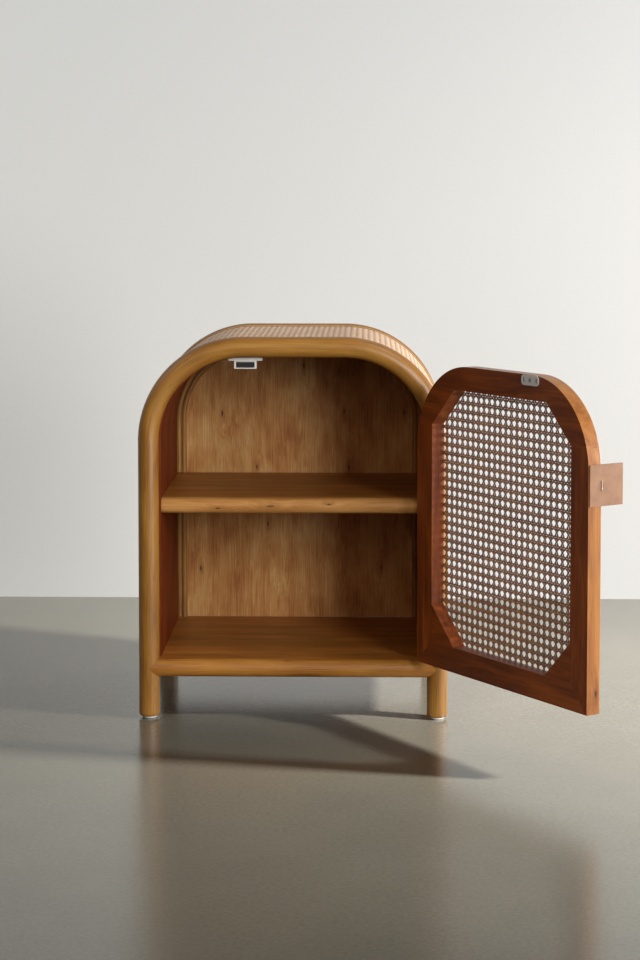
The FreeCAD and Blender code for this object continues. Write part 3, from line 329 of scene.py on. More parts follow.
def rattan(name, pale, honey, amber, rough, coat=0.15):
    """Peeled rattan under clear lacquer: long fibres, slow cloudy tone and small dark flecks.

    The lacquer is a thin satin coat, which gives a soft bright line where the pole turns edge on.
    """
    finish, tree = new_finish(name)
    threads = {"Vector": laid_mm(tree, 0.02), "Scale": 0.9, "Detail": 4, "Roughness": 0.6}
    fibre = add(tree, "TexNoise", threads)
    clouds = {"Vector": laid_mm(tree, 0.22), "Scale": 0.035, "Detail": 3, "Distortion": 0.6}
    tone = add(tree, "Math", {0: add(tree, "TexNoise", clouds), 1: 0.5}, operation="MULTIPLY")
    tone = add(tree, "Math", {0: fibre, 1: 0.5, 2: tone}, operation="MULTIPLY_ADD")
    colour = add(
        tree, "ValToRGB", {"Fac": tone}, stops=[(0.36, amber), (0.50, honey), (0.66, pale)]
    )
    fleck = add(tree, "TexNoise", {"Vector": laid_mm(tree, 0.12), "Scale": 0.3, "Detail": 1})
    fleck = add(tree, "MapRange", {"Value": fleck, 1: 0.71, 2: 0.78, 3: 0.0, 4: 0.6})
    colour = add(
        tree, "Mix", {"Factor": fleck, 6: colour, 7: srgb("#5a3414")}, out=2, data_type="RGBA"
    )
    duller = {"Value": fibre, 1: 0.3, 2: 0.7, 3: rough + 0.06, 4: rough - 0.04}
    gloss = add(tree, "MapRange", duller)
    close(
        tree,
        colour,
        fibre,
        0.03,
        Roughness=gloss,
        IOR=1.5,
        Coat_Weight=coat,
        Coat_Roughness=0.32,
    )
    return finish


def knot_masks(tree, ragged, knots):
    """How much each place is a knot's core, its dark halo, and the grain that bends round it.

    A knot is a place in millimetres and a radius. Each mask falls off with the distance from the
    place over the radius, which is counted short along the grain, so a knot is drawn out there.
    """
    core = halo = pull = 0.0
    for *middle, size in knots:
        centre = [m + RAGGED_MM / 2 for m in middle]
        gap = add(tree, "VectorMath", {0: ragged, 1: centre}, operation="SUBTRACT")
        squeeze = (1 / size, 1 / size, 0.28 / size)
        gap = add(tree, "VectorMath", {0: gap, 1: squeeze}, operation="MULTIPLY")
        far = add(tree, "VectorMath", {0: gap}, out="Value", operation="LENGTH")
        near = add(tree, "MapRange", {"Value": far, 1: 0.3, 2: 1.0, 3: 1.0, 4: 0.0})
        core = add(tree, "Math", {0: core, 1: near}, operation="MAXIMUM")
        near = add(tree, "MapRange", {"Value": far, 1: 0.8, 2: 3.2, 3: 0.45, 4: 0.0})
        halo = add(tree, "Math", {0: halo, 1: near}, operation="MAXIMUM")
        near = add(tree, "MapRange", {"Value": far, 1: 0.3, 2: 6.0, 3: 1.0, 4: 0.0})
        pull = add(tree, "Math", {0: pull, 1: near}, operation="MAXIMUM")
    return core, halo, pull


def wood(
    name,
    colours,
    knots=(),
    band_mm=20,
    fibre_mm=2,
    patch_mm=70,
    shares=(0.45, 0.32, 0.25),
    spread=0.13,
    ticks=0.3,
    rough=0.45,
    shine=0.3,
    coat=0.0,
    rim=None,
):
    """Veneer or board: broad bands bent round knots, fine fibres, cloudy patches, short dark pores.

    Colours run dark, middle, pale. Shares weigh bands, fibres and patches, spread is half the range
    of tones from dark to pale, and ticks is how dark the pores are. A rim has colours of its own on
    the faces whose attribute "outer" is one: painted light on the faces that catch the lamps.
    """
    finish, tree = new_finish(name)
    where = laid_mm(tree)
    ragged = add(tree, "TexNoise", {"Vector": laid_mm(tree, 0.4), "Scale": 0.5}, out="Color")
    shift = {0: ragged, 1: (RAGGED_MM,) * 3, 2: where}
    ragged = add(tree, "VectorMath", shift, operation="MULTIPLY_ADD")
    core, halo, pull = knot_masks(tree, ragged, knots)
    sway = add(tree, "TexNoise", {"Vector": laid_mm(tree, 0.25), "Scale": 0.02})
    sway = add(tree, "Math", {0: sway, 1: 26.0}, operation="MULTIPLY")
    sway = add(tree, "Math", {0: pull, 1: 7.0, 2: sway}, operation="MULTIPLY_ADD")
    sway = add(tree, "CombineXYZ", {"X": sway, "Y": sway})
    bent = add(tree, "VectorMath", {0: where, 1: sway}, operation="ADD")
    looks = []
    for stretch, size, detail, roughness in (
        (0.07, band_mm, 3, 0.6),
        (0.018, fibre_mm, 4, 0.65),
        (0.5, patch_mm, 3, 0.5),
        (0.06, 0.8, 2, 0.5),
    ):
        drawn = add(tree, "Mapping", {"Vector": bent, "Scale": (1, 1, stretch)})
        values = {"Vector": drawn, "Scale": 1 / size, "Detail": detail, "Roughness": roughness}
        looks.append(add(tree, "TexNoise", values))
    tone = 0.5 * (1 - sum(shares))
    for look, share in zip(looks, shares):
        tone = add(tree, "Math", {0: look, 1: share, 2: tone}, operation="MULTIPLY_ADD")
    stops = list(zip((0.5 - spread, 0.5, 0.5 + spread), colours))
    colour = add(tree, "ValToRGB", {"Fac": tone}, stops=stops)
    # The rim's lighter colours are painted light on the faces that catch the lamps.
    if rim:
        stops = [(place_at, tint) for (place_at, _), tint in zip(stops, rim)]
        outside = add(tree, "ValToRGB", {"Fac": tone}, stops=stops)
        outer = add(tree, "Attribute", out="Fac", attribute_name="outer")
        mix = {"Factor": outer, 6: colour, 7: outside}
        colour = add(tree, "Mix", mix, out=2, data_type="RGBA")
    pore = add(tree, "MapRange", {"Value": looks[3], 1: 0.62, 2: 0.74, 3: 0.0, 4: ticks})
    for mask, tint in ((pore, colours[0]), (halo, colours[0]), (core, KNOT_COLOUR)):
        mix = {"Factor": mask, 6: colour, 7: srgb(tint)}
        colour = add(tree, "Mix", mix, out=2, data_type="RGBA")
    close(
        tree,
        colour,
        looks[1],
        0.02,
        Roughness=rough,
        Specular_IOR_Level=shine,
        Coat_Weight=coat,
        Coat_Roughness=0.25,
    )
    return finish


def cane(name, pale, honey, dark, rough=0.4, edge=0.0):
    """Split cane strands: glossy rind, long fibres, each strand a little lighter or darker.

    A strand's edges can be darker than its middle: painted shade where strands meet and cross. In
    the laid place the strands lie a STRAND_STEP apart, so each meets its own part of the pattern.
    """
    finish, tree = new_finish(name)
    strand = add(tree, "TexNoise", {"Vector": laid_mm(tree, 0.01), "Scale": 0.23, "Detail": 1})
    stain = add(tree, "TexNoise", {"Vector": laid_mm(tree, 0.2), "Scale": 0.05, "Detail": 3})
    fibre = add(tree, "TexNoise", {"Vector": laid_mm(tree, 0.03), "Scale": 3.0, "Detail": 2})
    tone = add(tree, "Math", {0: strand, 1: 0.5}, operation="MULTIPLY")
    tone = add(tree, "Math", {0: stain, 1: 0.5, 2: tone}, operation="MULTIPLY_ADD")
    colour = add(
        tree, "ValToRGB", {"Fac": tone}, stops=[(0.36, dark), (0.5, honey), (0.64, pale)]
    )
    # Darker towards each strand's edges, by up to the edge amount of #241105: painted shade between
    # strands.
    across = add(tree, "SeparateXYZ", {"Vector": laid_mm(tree)}, out="X")
    across = add(tree, "Math", {0: across, 1: STRAND_STEP / MM / 2}, operation="PINGPONG")
    rim = add(tree, "MapRange", {"Value": across, 1: 0.5, 2: 1.0, 3: 0.0, 4: edge})
    mix = {"Factor": rim, 6: colour, 7: srgb("#241105")}
    colour = add(tree, "Mix", mix, out=2, data_type="RGBA")
    close(tree, colour, fibre, 0.01, Roughness=rough, IOR=1.5, Coat_Weight=0.15)
    return finish


def leather(name, pale, mid, dark):
    """Vegetable-tanned cowhide: fine pebbled grain, faint cloudy tone, soft dressed sheen."""
    finish, tree = new_finish(name)
    where = laid_mm(tree)
    pebble = {"Vector": where, "Scale": 1.4}
    pebble = add(tree, "TexVoronoi", pebble, feature="DISTANCE_TO_EDGE")
    cloud = add(tree, "TexNoise", {"Vector": where, "Scale": 0.05, "Detail": 5, "Roughness": 0.6})
    colour = add(tree, "ValToRGB", {"Fac": cloud}, stops=[(0.25, dark), (0.5, mid), (0.75, pale)])
    # Darker along the pebble's creases: painted shade in the grain's hollows.
    crease_shade = add(tree, "MapRange", {"Value": pebble, 1: 0.0, 2: 0.1, 3: 0.12, 4: 0.0})
    mix = {"Factor": crease_shade, 6: colour, 7: srgb(dark)}
    colour = add(tree, "Mix", mix, out=2, data_type="RGBA")
    close(tree, colour, pebble, 0.04, Roughness=0.52, IOR=1.45, Sheen_Weight=0.1)
    return finish


def steel(name, dull, bright, rough=0.34, metal=1.0):
    """Plated pressed steel: soft sheen broken by fine rolling marks and handling haze."""
    finish, tree = new_finish(name)
    where = object_mm(tree)
    haze = add(tree, "TexNoise", {"Vector": where, "Scale": 0.12, "Detail": 3, "Roughness": 0.6})
    marks = add(tree, "TexNoise", {"Vector": where, "Scale": 1.5})
    colour = add(tree, "ValToRGB", {"Fac": haze}, stops=[(0.3, dull), (0.7, bright)])
    gloss = add(tree, "MapRange", {"Value": haze, 1: 0.3, 2: 0.7, 3: rough + 0.1, 4: rough - 0.06})
    close(tree, colour, marks, 0.003, Metallic=metal, Roughness=gloss)
    return finish


def plain(name, dark, pale, grain_mm, depth_mm, rough):
    """Moulded, sintered or turned stock with no direction: fine grain over a faint cloudy tone."""
    finish, tree = new_finish(name)
    where = object_mm(tree)
    grain = add(tree, "TexNoise", {"Vector": where, "Scale": 1 / grain_mm})
    cloud = add(tree, "TexNoise", {"Vector": where, "Scale": 1 / 12, "Detail": 3})
    colour = add(tree, "ValToRGB", {"Fac": cloud}, stops=[(0.35, dark), (0.65, pale)])
    close(tree, colour, grain, depth_mm, Roughness=rough, IOR=1.5)
    return finish


# Each comment says what the finish gives the eye.
# Golden-ochre poles with long fibres and a soft bright line along the crown
POLE = rattan("peeled rattan pole, satin lacquer", "#a57831", "#916223", "#744915", 0.38)
# The same pole a shade warmer, so that the rails part from the legs at their coped joints
RAIL = rattan("peeled rattan rail, satin lacquer", "#b17b32", "#9b6424", "#7a4916", 0.4)
# Dull, even honey that keeps the two reeds round the back panel quiet
REED = rattan("round rattan reed, oiled", "#b38240", "#95642a", "#6f4519", 0.55, 0.0)
# The brightest line of the inside: pale banded ash with a few dark knots
NOSING = wood(
    "stained ash nosing, lacquered",
    ("#8a5728", "#b27d42", "#ca965b"),
    knots=[(-138.5, 309, -33, 2.2), (-139, 306, -110, 1.4), (-139, 312, 52, 1.2)],
    band_mm=9,
    spread=0.18,
    ticks=0.5,
    rough=0.4,
    coat=0.3,
)
# Deep brown flats whose long grain runs from side to side
SHELF = wood(
    "stained plywood shelf, lacquered",
    ("#764314", "#a16323", "#c17d39"),
    spread=0.16,
    rough=0.45,
    coat=0.08,
)
# Mottled tan ground with fine upright fibres and slender dark knots on both faces
BACK = wood(
    "rotary-cut plywood back, oiled",
    ("#965729", "#be874a", "#d9af72"),
    knots=[
        (-123, 155.5, 414, 1.9),
        (7, 155.5, 491, 1.8),
        (71, 155.5, 418, 1.3),
        (167, 155.5, 416, 1.6),
        (79, 155.5, 328, 1.7),
        (-68, 155.5, 328, 1.4),
        (-158, 155.5, 165, 1.7),
        (-50, 155.5, 237, 1.6),
        (131, 155.5, 167, 1.5),
        (88, 161.5, 452, 1.8),
        (-96, 161.5, 268, 2.0),
        (24, 161.5, 146, 1.5),
    ],
    band_mm=24,
    fibre_mm=1.6,
    patch_mm=34,
    shares=(0.25, 0.4, 0.4),
    spread=0.14,
    ticks=0.5,
    rough=0.55,
)
# Dark red-brown walls that frame the paler back
LINING = wood(
    "stained plywood lining, lacquered",
    ("#401402", "#632505", "#793407"),
    knots=[(-16.5, 60, 380, 2.2), (-16.5, -70, 250, 1.8), (-16.5, 20, 150, 1.6)],
    patch_mm=40,
    spread=0.16,
    rough=0.6,
    shine=0.15,
)
# Light ground under the covering, near the strands' own colour, so the weave reads as fine cloth
BOARD = wood("sanded plywood board", ("#cba682", "#dbbb9a", "#e4cbac"), spread=0.2, rough=0.6)
# Red-brown inside with a honey front and rim, which parts the door from the golden poles: one wood,
# the lighter front and rim painted light, the darker inside painted shade
DOOR_WOOD = wood(
    "stained hardwood door frame, lacquered",
    ("#4c1e05", "#783609", "#974d12"),
    knots=[(-389, 12, 405, 1.8), (-389, 9, 118, 2.0), (-385, 14, 469, 2.0)],
    band_mm=14,
    rough=0.42,
    shine=0.4,
    coat=0.12,
    rim=("#713c13", "#8f5822", "#a16b2f"),
)
# Golden strands with dark edges of painted shade, so each stands apart from the one it crosses
CANE = cane("split cane strand, lacquered", "#d18e3d", "#a7611e", "#6a380d", edge=0.8)
# A darker copy of the strand finish for the uprights, painted shade on their sides, which gives the
# weave its two tones
SHADED_CANE = cane("split cane strand in painted shade", "#774715", "#60320a", "#3c1d04", edge=0.8)
# Bleached strands, dry and matt: the palest surface of the object, with faint painted shade at
# their edges
COVER_CANE = cane("split cane covering strand", "#d3b69c", "#c8a788", "#ba9573", 0.55, 0.15)
# A clean blond line where a weave ends
BINDING = cane("split cane binding, lacquered", "#d2a566", "#bb8a4a", "#94672f")
# Smooth pinkish tan with a fine pebble, the one soft surface
LEATHER = leather("vegetable-tanned leather", "#8e6a4c", "#855e41", "#785337")
# A small dark mark on the leather
THREAD = plain("waxed linen thread", "#4a2a16", "#6a4226", 0.4, 0.05, 0.6)
# Grey satin metal for hinges, screws and keepers
STEEL = steel("nickel-plated steel", "#9f9c96", "#b9b7b2")
# Paler and cloudier than the steel, as on a stamped plate
ZINC = steel("bright zinc-plated steel", "#d8d8d4", "#e6e6e2", 0.42, 0.5)
# Nearly black, partly the ferrite's own dark grey and partly painted shade, so the catch has a dark
# mouth
MAGNET = plain("sintered ferrite magnet", "#060607", "#0d0d0f", 0.5, 0.02, 0.7)
# Clean off-white that stands out under the arch
CATCH = plain("moulded white nylon", "#c3c0b8", "#d2d0c9", 0.45, 0.01, 0.5)
# A thin pale line under each leg
GLIDE = plain("moulded grey nylon", "#c9c6bf", "#dad7d1", 0.45, 0.01, 0.5)
# Pale end grain where a dowel shows at a joint
DOWEL = plain("turned beech dowel", "#b8935f", "#d8b98c", 1.2, 0.02, 0.6)


# ---------------------------------------------------------------------------------------------
# Poles
# ---------------------------------------------------------------------------------------------
def hoop(name, y, node, seats=()):
    """Pole bent to the arch: circles carried along it, rounded in at both feet.

    Over the last millimetres a circle's radius falls as a quarter round. Between the heights of a
    seat the right leg is cut flat where a hinge leaf lies.
    """
    rise, quarter = SPRING_Z - FOOT_Z, pi / 2 * ARCH_RADIUS
    foot_rings, leg_rings, bend_rings, top_rings, ring_points = 6, 28, 40, 8, 57
    foot = FOOT_ROUNDING * (1 - np.cos(np.linspace(0, pi / 2, foot_rings)))
    leg = np.linspace(2 * FOOT_ROUNDING, rise, leg_rings)
    bend = rise + quarter * np.linspace(0, 1, bend_rings)[1:]
    top = np.linspace(rise + quarter, ARCH_RUN / 2, top_rings)[1:]
    half = np.concatenate([foot, leg, bend, top])
    edges = np.array([ARCH_RUN - (z - FOOT_Z) for seat in seats for z in seat])
    hair = 1e-5  # rings this far to either side of a seat's ends keep those ends square
    run = np.unique(np.concatenate([half, ARCH_RUN - half, edges - hair, edges + hair]))
    short = np.clip(FOOT_ROUNDING - np.minimum(run, ARCH_RUN - run), 0, FOOT_ROUNDING)
    radius = POLE_RADIUS - FOOT_ROUNDING + np.sqrt(FOOT_ROUNDING**2 - short**2)
    run = np.concatenate([[0], run, [ARCH_RUN]])
    radius = np.concatenate([[0], radius, [0]])
    angle = np.linspace(0, 2 * pi, ring_points)
    out, depth = radius[:, None] * np.cos(angle), radius[:, None] * np.sin(angle)
    x, z = arch(run[:, None], out)
    laid = np.stack([out, depth, np.broadcast_to(run[:, None], out.shape)], axis=-1)
    floor_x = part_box("hinge_leg_screws")[0].x + LEAF_SEAT
    for low, high in seats:
        x = np.where((x > 0) & (z > low) & (z < high), np.maximum(x, floor_x), x)
    points = np.stack([x, y + depth, z], axis=-1)
    return place(skin(name, points, laid), BODY_OF[node], SLOT_OF[node], POLE, node)


def hinge_seats():
    """Heights between which the leaves lie in the right front leg."""
    boxes = [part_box(which + "_hinge_fixed_leaf") for which in ("lower", "upper")]
    return [(low.z - SEAT_ROOM, high.z + SEAT_ROOM) for low, high in boxes]


hoop("front_hoop_pole", -HOOP_Y, "front_hoop", hinge_seats())
hoop("back_hoop_pole", HOOP_Y, "back_hoop")
for where, axis in (("front", "x"), ("back", "x"), ("left", "y"), ("right", "y")):
    eased(where + "_bottom_rail", RAIL, laid_along(axis), 0.3 * MM)

# ---------------------------------------------------------------------------------------------
# Boards and linings
# ---------------------------------------------------------------------------------------------
for node in ("left_lining", "right_lining", "arch_lining"):
    eased(node, LINING, laid_on_arch, 0.4 * MM)
for node in ("left_outer_board", "right_outer_board", "arch_outer_board"):
    eased(node, BOARD, laid_on_arch, 0.2 * MM)
eased("back_moulding", REED, laid_on_arch, 0)
eased("back_panel", BACK, laid_along("z"), 0.3 * MM)
eased("bottom_shelf", SHELF, laid_along("x"), 0.4 * MM)
eased("middle_shelf", SHELF, laid_along("x"), 0.4 * MM)
eased("middle_shelf_nosing", NOSING, laid_along("x"), 0.4 * MM)


# ---------------------------------------------------------------------------------------------
# Woven cane
# ---------------------------------------------------------------------------------------------
def octagon(low_u, high_u, low_v, high_v, corner):
    """Half-planes of a rectangle with cut corners: outward normals and their distances."""
    middle = np.array([low_u + high_u, low_v + high_v]) / 2
    half_u, half_v = (high_u - low_u) / 2, (high_v - low_v) / 2
    normals = np.array([(cos(a), sin(a)) for a in np.arange(8) * pi / 4])
    slant = (half_u + half_v - corner) / sqrt(2)
    return normals, np.array([half_u, slant, half_v, slant] * 2) + normals @ middle


def pair_wave(run, pitch):
    """Height of a strand at a crossing pair: up over one strand, down under the next.

    With x the distance from the pair's middle over the strands' half spacing it is
    -x times e to the power (1 - x squared) / 2, which peaks at one either side of the middle.
    """
    x = ((run / pitch + 0.5) % 1 - 0.5) / PAIR_SPREAD
    return -x * np.exp((1 - x * x) / 2)


def crossing_runs(start, along, outline):
    """Which lines cross the outline, and the runs at which those enter and leave it.

    A line is a start and a direction. It leaves a half-plane at its room over its speed outwards.
    """
    normals, spans = outline
    standstill = 1e-9
    speed = normals @ along
    room = spans - start @ normals.T
    with np.errstate(divide="ignore", invalid="ignore"):
        limit = room / speed
    high = np.where(speed > standstill, limit, np.inf).min(axis=1)
    low = np.where(speed < -standstill, limit, -np.inf).max(axis=1)
    beyond = ((np.abs(speed) <= standstill) & (room < 0)).any(axis=1)
    kept = (high > low + SHORTEST_STRAND) & ~beyond
    return kept, low[kept], high[kept]


def strands(direction, centre, outline, lift, slant_lift, pitch, ticks):
    """Strands of one direction of six-way cane: middle points, heights, runs and numbers.

    Uprights and crossbars are pairs in plain weave: each follows pair_wave(), up or down by turns.
    Diagonals cross them halfway between pairs as a cosine, over the ones and under the others.
    Each strand is cut where it meets the outline's half-planes. Ticks are the points that a
    straight strand gets on one pitch; a slanted one gets one fewer.
    """
    angle = {"uprights": pi / 2, "crossbars": 0, "left": 3 * pi / 4, "right": pi / 4}[direction]
    along, across = np.array([cos(angle), sin(angle)]), np.array([-sin(angle), cos(angle)])
    normals, spans = outline
    slanted = direction in ("left", "right")
    gap = pitch / sqrt(2) if slanted else pitch
    count = int(np.max(np.abs(spans - normals @ centre)) * 1.5 / gap) + 1
    order = np.arange(-count, count + 1)
    offset = (order + 0.5) * gap
    if not slanted:
        offset = ((order[:, None] + np.array([-1, 1]) * PAIR_SPREAD) * pitch).ravel()
        order = np.arange(offset.size)
    start = centre + offset[:, None] * across
    kept, low, high = crossing_runs(start, along, outline)
    start, order = start[kept], order[kept]
    step = gap / (ticks - 1) if slanted else pitch / ticks
    mark = np.arange(int(np.floor(low.min() / step)), int(np.ceil(high.max() / step)) + 1) * step
    run = np.clip(mark[None], low[:, None], high[:, None])
    if slanted:
        crossing = start[:, None, 0] - centre[0] + run * along[0]
        height = slant_lift * np.cos(2 * pi * crossing / pitch)
        height = height if direction == "right" else -height
    else:
        sign = np.where(order % 2 == 0, 1.0, -1.0) * (1 if direction == "uprights" else -1)
        height = sign[:, None] * lift * pair_wave(run, pitch)
    return start[:, None] + run[..., None] * along, across, height, run, order


def with_ends(rings):
    """Strands of rings, shaped [strand, ring, point, 3], each closed at both ends in a point."""
    first, last = (
        np.broadcast_to(ring.mean(2, keepdims=True), ring.shape)
        for ring in (rings[:, :1], rings[:, -1:])
    )
    return np.concatenate([first, rings, last], axis=1)


def weave(name, direction, centre, outline, heights, pitch, ticks, section, to_place):
    """One direction of strands as a piece: a flat section carried along each strand, ends closed.

    The section's points are in half widths across the strand and half thicknesses up. A point lies
    at the strand's middle plus its share across, at the strand's height plus its share up, and
    to_place takes the two places in the weave and that level into the model.
    """
    lift, slant_lift, thick = heights
    middle, across, height, run, order = strands(
        direction, centre, outline, lift, slant_lift, pitch, ticks
    )
    loop = np.array(section + section[:1])
    side, top = STRAND_HALF_WIDTH * pitch * loop[:, 0], thick / 2 * loop[:, 1]
    flat = middle[:, :, None] + side[:, None] * across
    level = height[..., None] + top
    grid = to_place(flat[..., 0], flat[..., 1], level)
    strand = order[:, None, None] * STRAND_STEP
    laid = np.stack(np.broadcast_arrays(strand + side, level, run[..., None]), axis=-1)
    return skin(name, with_ends(grid), with_ends(laid), sharp=60)


ROUND_SECTION = [(-1, 0), (-0.6, 1), (0.6, 1), (1, 0), (0.6, -1), (-0.6, -1)]
FLAT_SECTION = [(-1.25, -1), (-0.85, 1), (0.85, 1), (1.25, -1)]
DIRECTIONS = {  # of a weave, with the door's node for each
    "uprights": "cane_uprights",
    "crossbars": "cane_crossbars",
    "left": "cane_left_diagonals",
    "right": "cane_right_diagonals",
}


def door_cane():
    """Six-way cane panel of the door, sandwiched on the lip round the opening."""
    grown = OPENING + CANE_LIP * np.array([-1, 1, -1, 1])
    outline = octagon(*grown, OPENING_CORNER + (2 - sqrt(2)) * CANE_LIP)

    def to_place(u, v, level):
        return to_world(np.stack([u, DOOR_FRONT + CANE_DEPTH - level, v], axis=-1))

    shape = (CANE_HEIGHTS, CANE_PITCH, 5, ROUND_SECTION)
    for direction, node in DIRECTIONS.items():
        piece = weave(node + "_strands", direction, CANE_MIDDLE, outline, *shape, to_place)
        # The uprights take the darker copy of the strand finish: painted shade.
        finish = SHADED_CANE if direction == "uprights" else CANE
        place(piece, BODY_OF[node], SLOT_OF[node], finish, node)


def covering():
    """Finer cane laid over the boards of the sides and the top, its pairs pressed flat.

    The uprights lie on the crossbars; the diagonals still run over and under them. Across is y, and
    up is the run along the arch, so arch() bends the flat weave round the boards.
    """
    low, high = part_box("cane_covering")
    board_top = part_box("arch_outer_board")[1].z - (SPRING_Z + ARCH_RADIUS)
    foot = low.z - FOOT_Z
    outline = octagon(low.y, high.y, foot, ARCH_RUN - foot, 0)
    centre = np.array([0, ARCH_RUN / 2])
    for direction in DIRECTIONS:
        base = board_top + COVER_LEVEL[direction] * MM

        def to_place(u, v, level, base=base):
            x, z = arch(v, base + level)
            return np.stack([x, u, z], axis=-1)

        ticks = 3 if direction in ("left", "right") else 1
        shape = (COVER_HEIGHTS, COVER_PITCH, ticks, FLAT_SECTION)
        piece = weave("covering_cane_" + direction, direction, centre, outline, *shape, to_place)
        nodes = ("cane_covering",) if direction == "uprights" else ()
        place(piece, "cabinet", SLOT_OF["cane_covering"], COVER_CANE, *nodes)


door_cane()
covering()
eased("cane_spline", BINDING, laid_on_door("z"), 0.4 * MM)
for node in ("front_binding", "back_binding", "end_bindings"):
    eased(node, BINDING, laid_on_arch, 0.45 * MM, 3)

# ---------------------------------------------------------------------------------------------
# Door frame
# ---------------------------------------------------------------------------------------------
for node in ("door_hinge_stile", "door_free_stile"):
    eased(node, DOOR_WOOD, laid_on_door("z"), 0.5 * MM, outer=outer_faces)
for node in (
    "door_bottom_rail",
    "door_top_rail",
    "door_hinge_shoulder",
    "door_free_shoulder",
    "door_hinge_corner_block",
    "door_free_corner_block",
):
    eased(node, DOOR_WOOD, laid_on_door("x"), 0.5 * MM, outer=outer_faces)

# ---------------------------------------------------------------------------------------------
# Hardware and pull
# ---------------------------------------------------------------------------------------------
eased("strike_plate", ZINC, laid_along("z"), 0.15 * MM)
for node in ("strike_screw", "pull_staple", "catch_keepers", "catch_screws"):
    eased(node, STEEL, laid_along("z"), 0.15 * MM)
for which in ("lower", "upper"):
    for part in ("_hinge_fixed_leaf", "_hinge_door_leaf", "_hinge_pin"):
        eased(which + part, STEEL, laid_along("z"), 0.15 * MM)
for node in ("hinge_leg_screws", "hinge_door_screws"):
    eased(node, STEEL, laid_along("z"), 0.1 * MM)
eased("catch_housing", CATCH, laid_along("z"), 0.4 * MM)
eased("catch_magnet", MAGNET, laid_along("z"), 0.2 * MM)
for foot in ("front_left", "back_left", "front_right", "back_right"):
    eased(foot + "_glide", GLIDE, laid_along("z"), 0.3 * MM)
eased("leather_pull", LEATHER, laid_on_door("x"), 0.6 * MM, 3)

for node, finish in (("rail_dowels", DOWEL), ("shelf_dowels", DOWEL), ("glide_nails", STEEL)):
    target = frame["nodes"][node]
    target.data.materials.clear()
    target.data.materials.append(finish)


def pull_stitch():
    """The pull's bar tack: an ellipse of thread whose width and height fade to the ends.

    Both follow the square root of 1 minus the squared place along the tack, so the ends are round.
    """
    low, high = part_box("leather_pull")
    half_length, half_width, proud, sunk = 5.2 * MM, 0.55 * MM, 0.3 * MM, 0.2 * MM
    middle_y, middle_z = 0.6 * MM, (low.z + high.z) / 2
    rings, ring_points = 17, 13
    t = np.linspace(-1, 1, rings)[:, None]
    turn = np.linspace(0, 2 * pi, ring_points)[None]
    fade = np.sqrt(1 - t * t)
    across = half_width * fade * np.cos(turn)
    level = proud * fade * np.sin(turn)
    x, y, z = PULL_FACE_X + sunk - level, middle_y + across, middle_z + half_length * t + 0 * turn
    laid = np.stack(np.broadcast_arrays(across, level, half_length * t), axis=-1)
    piece = skin("pull_tack", to_world(np.stack([x, y, z], axis=-1)), laid)
    place(piece, BODY_OF["leather_pull"], SLOT_OF["leather_pull"], THREAD)


pull_stitch()


# ---------------------------------------------------------------------------------------------
# Room, light and camera
# ---------------------------------------------------------------------------------------------
def floor_finish():
    """Sealed, power-floated concrete: cloudy pale grey with a low mirror-like sheen."""
    finish, tree = new_finish("sealed pale concrete")
    where = add(tree, "TexCoord", out="Object")
    cloud = add(tree, "TexNoise", {"Vector": where, "Scale": 2.2, "Detail": 8, "Roughness": 0.7})
    grain = add(tree, "TexNoise", {"Vector": where, "Scale": 170, "Detail": 3, "Roughness": 0.6})
    tone = add(tree, "Math", {0: grain, 1: 0.35, 2: 0.15}, operation="MULTIPLY_ADD")
    tone = add(tree, "Math", {0: cloud, 1: 0.35, 2: tone}, operation="MULTIPLY_ADD")
    colour = add(tree, "ValToRGB", {"Fac": tone}, stops=[(0.38, "#625e53"), (0.62, "#747063")])
    gloss = add(tree, "MapRange", {"Value": tone, 1: 0.4, 2: 0.6, 3: 0.24, 4: 0.16})
    close(tree, colour, grain, 0.15, Roughness=gloss, IOR=1.6)
    return finish


def wall_finish():
    """Matt emulsion paint over plaster, with a faint roller stipple.

    The sheet shows from the room alone, so that the object can be seen from behind it too.
    """
    finish, tree = new_finish("matt wall paint")
    where = add(tree, "TexCoord", out="Object")
    stipple = add(tree, "TexNoise", {"Vector": where, "Scale": 300})
    colour = add(tree, "ValToRGB", {"Fac": stipple}, stops=[(0.3, "#e9eae9"), (0.7, "#edeeed")])
    behind = add(tree, "NewGeometry", out="Backfacing")
    front = add(tree, "Math", {0: 1.0, 1: behind}, operation="SUBTRACT")
    close(tree, colour, stipple, 0.05, Roughness=0.85, Alpha=front)
    return finish


def make_room():
    """Floor and wall, which aren't part of the object: flat sheets that meet behind it.

    Along each, y and z are straight from one end to the other. The floor runs on past the wall.
    """
    half_width, wall_y, height, front, back = 6.0, 0.77, 5.0, -8.0, 8.0
    sheets = {
        "floor": ([front, back], [0.0, 0.0], floor_finish()),
        "wall": ([wall_y, wall_y], [0.0, height], wall_finish()),
    }
    for name, (y, z, finish) in sheets.items():
        across, y, z = np.broadcast_arrays([[-half_width, half_width]], np.c_[y], np.c_[z])
        piece = skin(name, np.stack([across, y, z], axis=-1))
        piece.data.materials.append(finish)


def receivers(name, sheets, state):
    """What a lamp lights: only the named sheets, or all but them."""
    group = bpy.data.collections.new(name)
    for sheet in sheets:
        group.objects.link(bpy.data.objects[sheet])
    for link in group.collection_objects:
        link.light_linking.link_state = state
    return group


def lamp(name, place_at, aim, size, power, lights=None, tint="#ffffff", spread=180):
    """A soft rectangular lamp, unseen itself, that points from its place to its aim.

    Its light fades towards the edges of a cone as wide as the spread, in degrees.
    """
    light = bpy.data.lights.new(name, "AREA")
    light.shape = "RECTANGLE"
    light.size, light.size_y = size
    light.energy = power
    light.spread = radians(spread)
    light.color = srgb(tint)[:3]
    holder = bpy.data.objects.new(name, light)
    holder.location = place_at
    holder.rotation_euler = (Vector(aim) - Vector(place_at)).to_track_quat("-Z", "Y").to_euler()
    holder.visible_camera = False
    holder.light_linking.receiver_collection = lights
    bpy.context.scene.collection.objects.link(holder)


make_room()
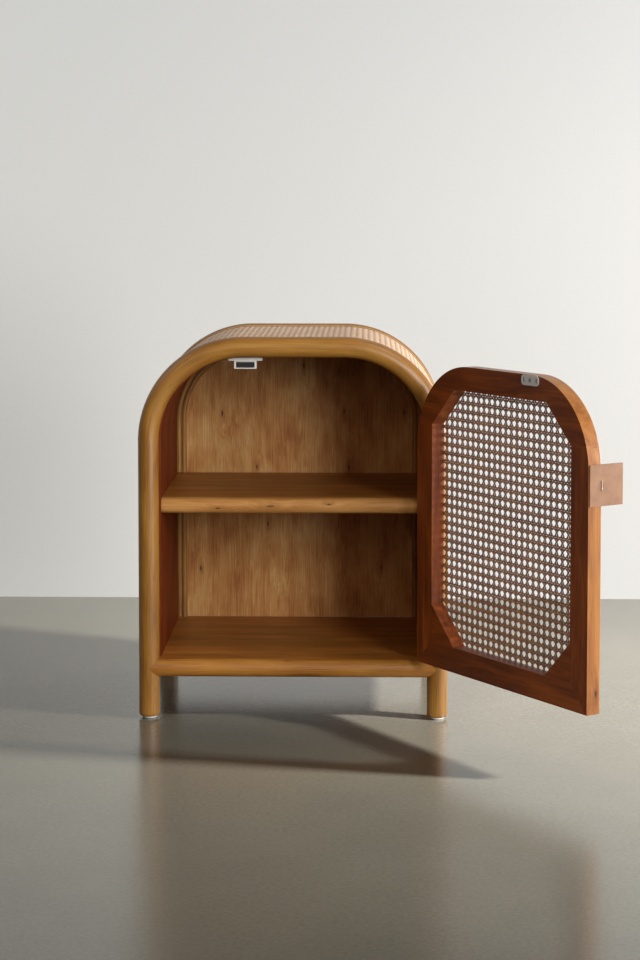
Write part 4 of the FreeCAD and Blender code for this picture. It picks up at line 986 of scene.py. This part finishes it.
# Each lamp lights the object alone or a sheet alone, but for the left skylight, which lights all;
# the floor window alone throws the object's shadow over the floor.
OBJECT = receivers("object only", ("wall", "floor"), "EXCLUDE")
WALL = receivers("wall only", ("wall",), "INCLUDE")
FLOOR = receivers("floor only", ("floor",), "INCLUDE")
lamp("side window", (2.2, 0.15, 0.55), (0.2, 0.0, 0.3), (0.9, 0.8), 56, OBJECT)
lamp("right window", (2.3, -2.3, 1.0), (0.0, 0.0, 0.3), (0.9, 1.5), 68, OBJECT)
lamp("top window", (1.1, -0.7, 2.6), (0.0, 0.0, 0.4), (0.9, 0.9), 10, OBJECT)
lamp("left skylight", (-2.4, -0.6, 2.4), (0.0, 0.0, 0.2), (1.6, 1.6), 12)
lamp("front softbox", (1.49, -3.056, 1.1), (0.0, 0.0, 0.3), (0.8, 1.3), 52, OBJECT)
lamp("warm fill", (-1.0, -3.2, 1.5), (0.1, 0.0, 0.3), (1.2, 1.2), 10, OBJECT, "#ffdfc4")
lamp("left wall wash", (-1.6, -1.2, 0.7), (-0.6, 0.77, 0.3), (1.5, 1.2), 18, WALL, "#fffdf5")
lamp("right wall wash", (2.2, -1.3, 0.6), (0.2, 0.77, 0.6), (1.2, 1.2), 64, WALL)
lamp("floor window", (2.78, -0.94, 1.74), (0.6, 0.15, 0.0), (0.22, 0.28), 53, FLOOR, spread=66)

world = bpy.data.worlds.new("studio")
world.use_nodes = True
sky = world.node_tree.nodes["Background"].inputs
sky["Color"].default_value = srgb("#f2f3f5")
sky["Strength"].default_value = 0.10
bpy.context.scene.world = world
bpy.context.scene.view_settings.view_transform = "Standard"

camera = bpy.data.cameras.new("camera")
camera.lens = 81.058
camera.sensor_width = 36
camera.shift_y = -0.15  # moves the frame down onto the object, so that the view dips less
viewer = bpy.data.objects.new("camera", camera)
viewer.location = (0.10564, -3.26640, 0.77314)
down, left = 3.933, 1.22  # degrees that the view dips and turns
viewer.rotation_euler = (radians(90 - down), 0, radians(left))
bpy.context.scene.collection.objects.link(viewer)
bpy.context.scene.camera = viewer
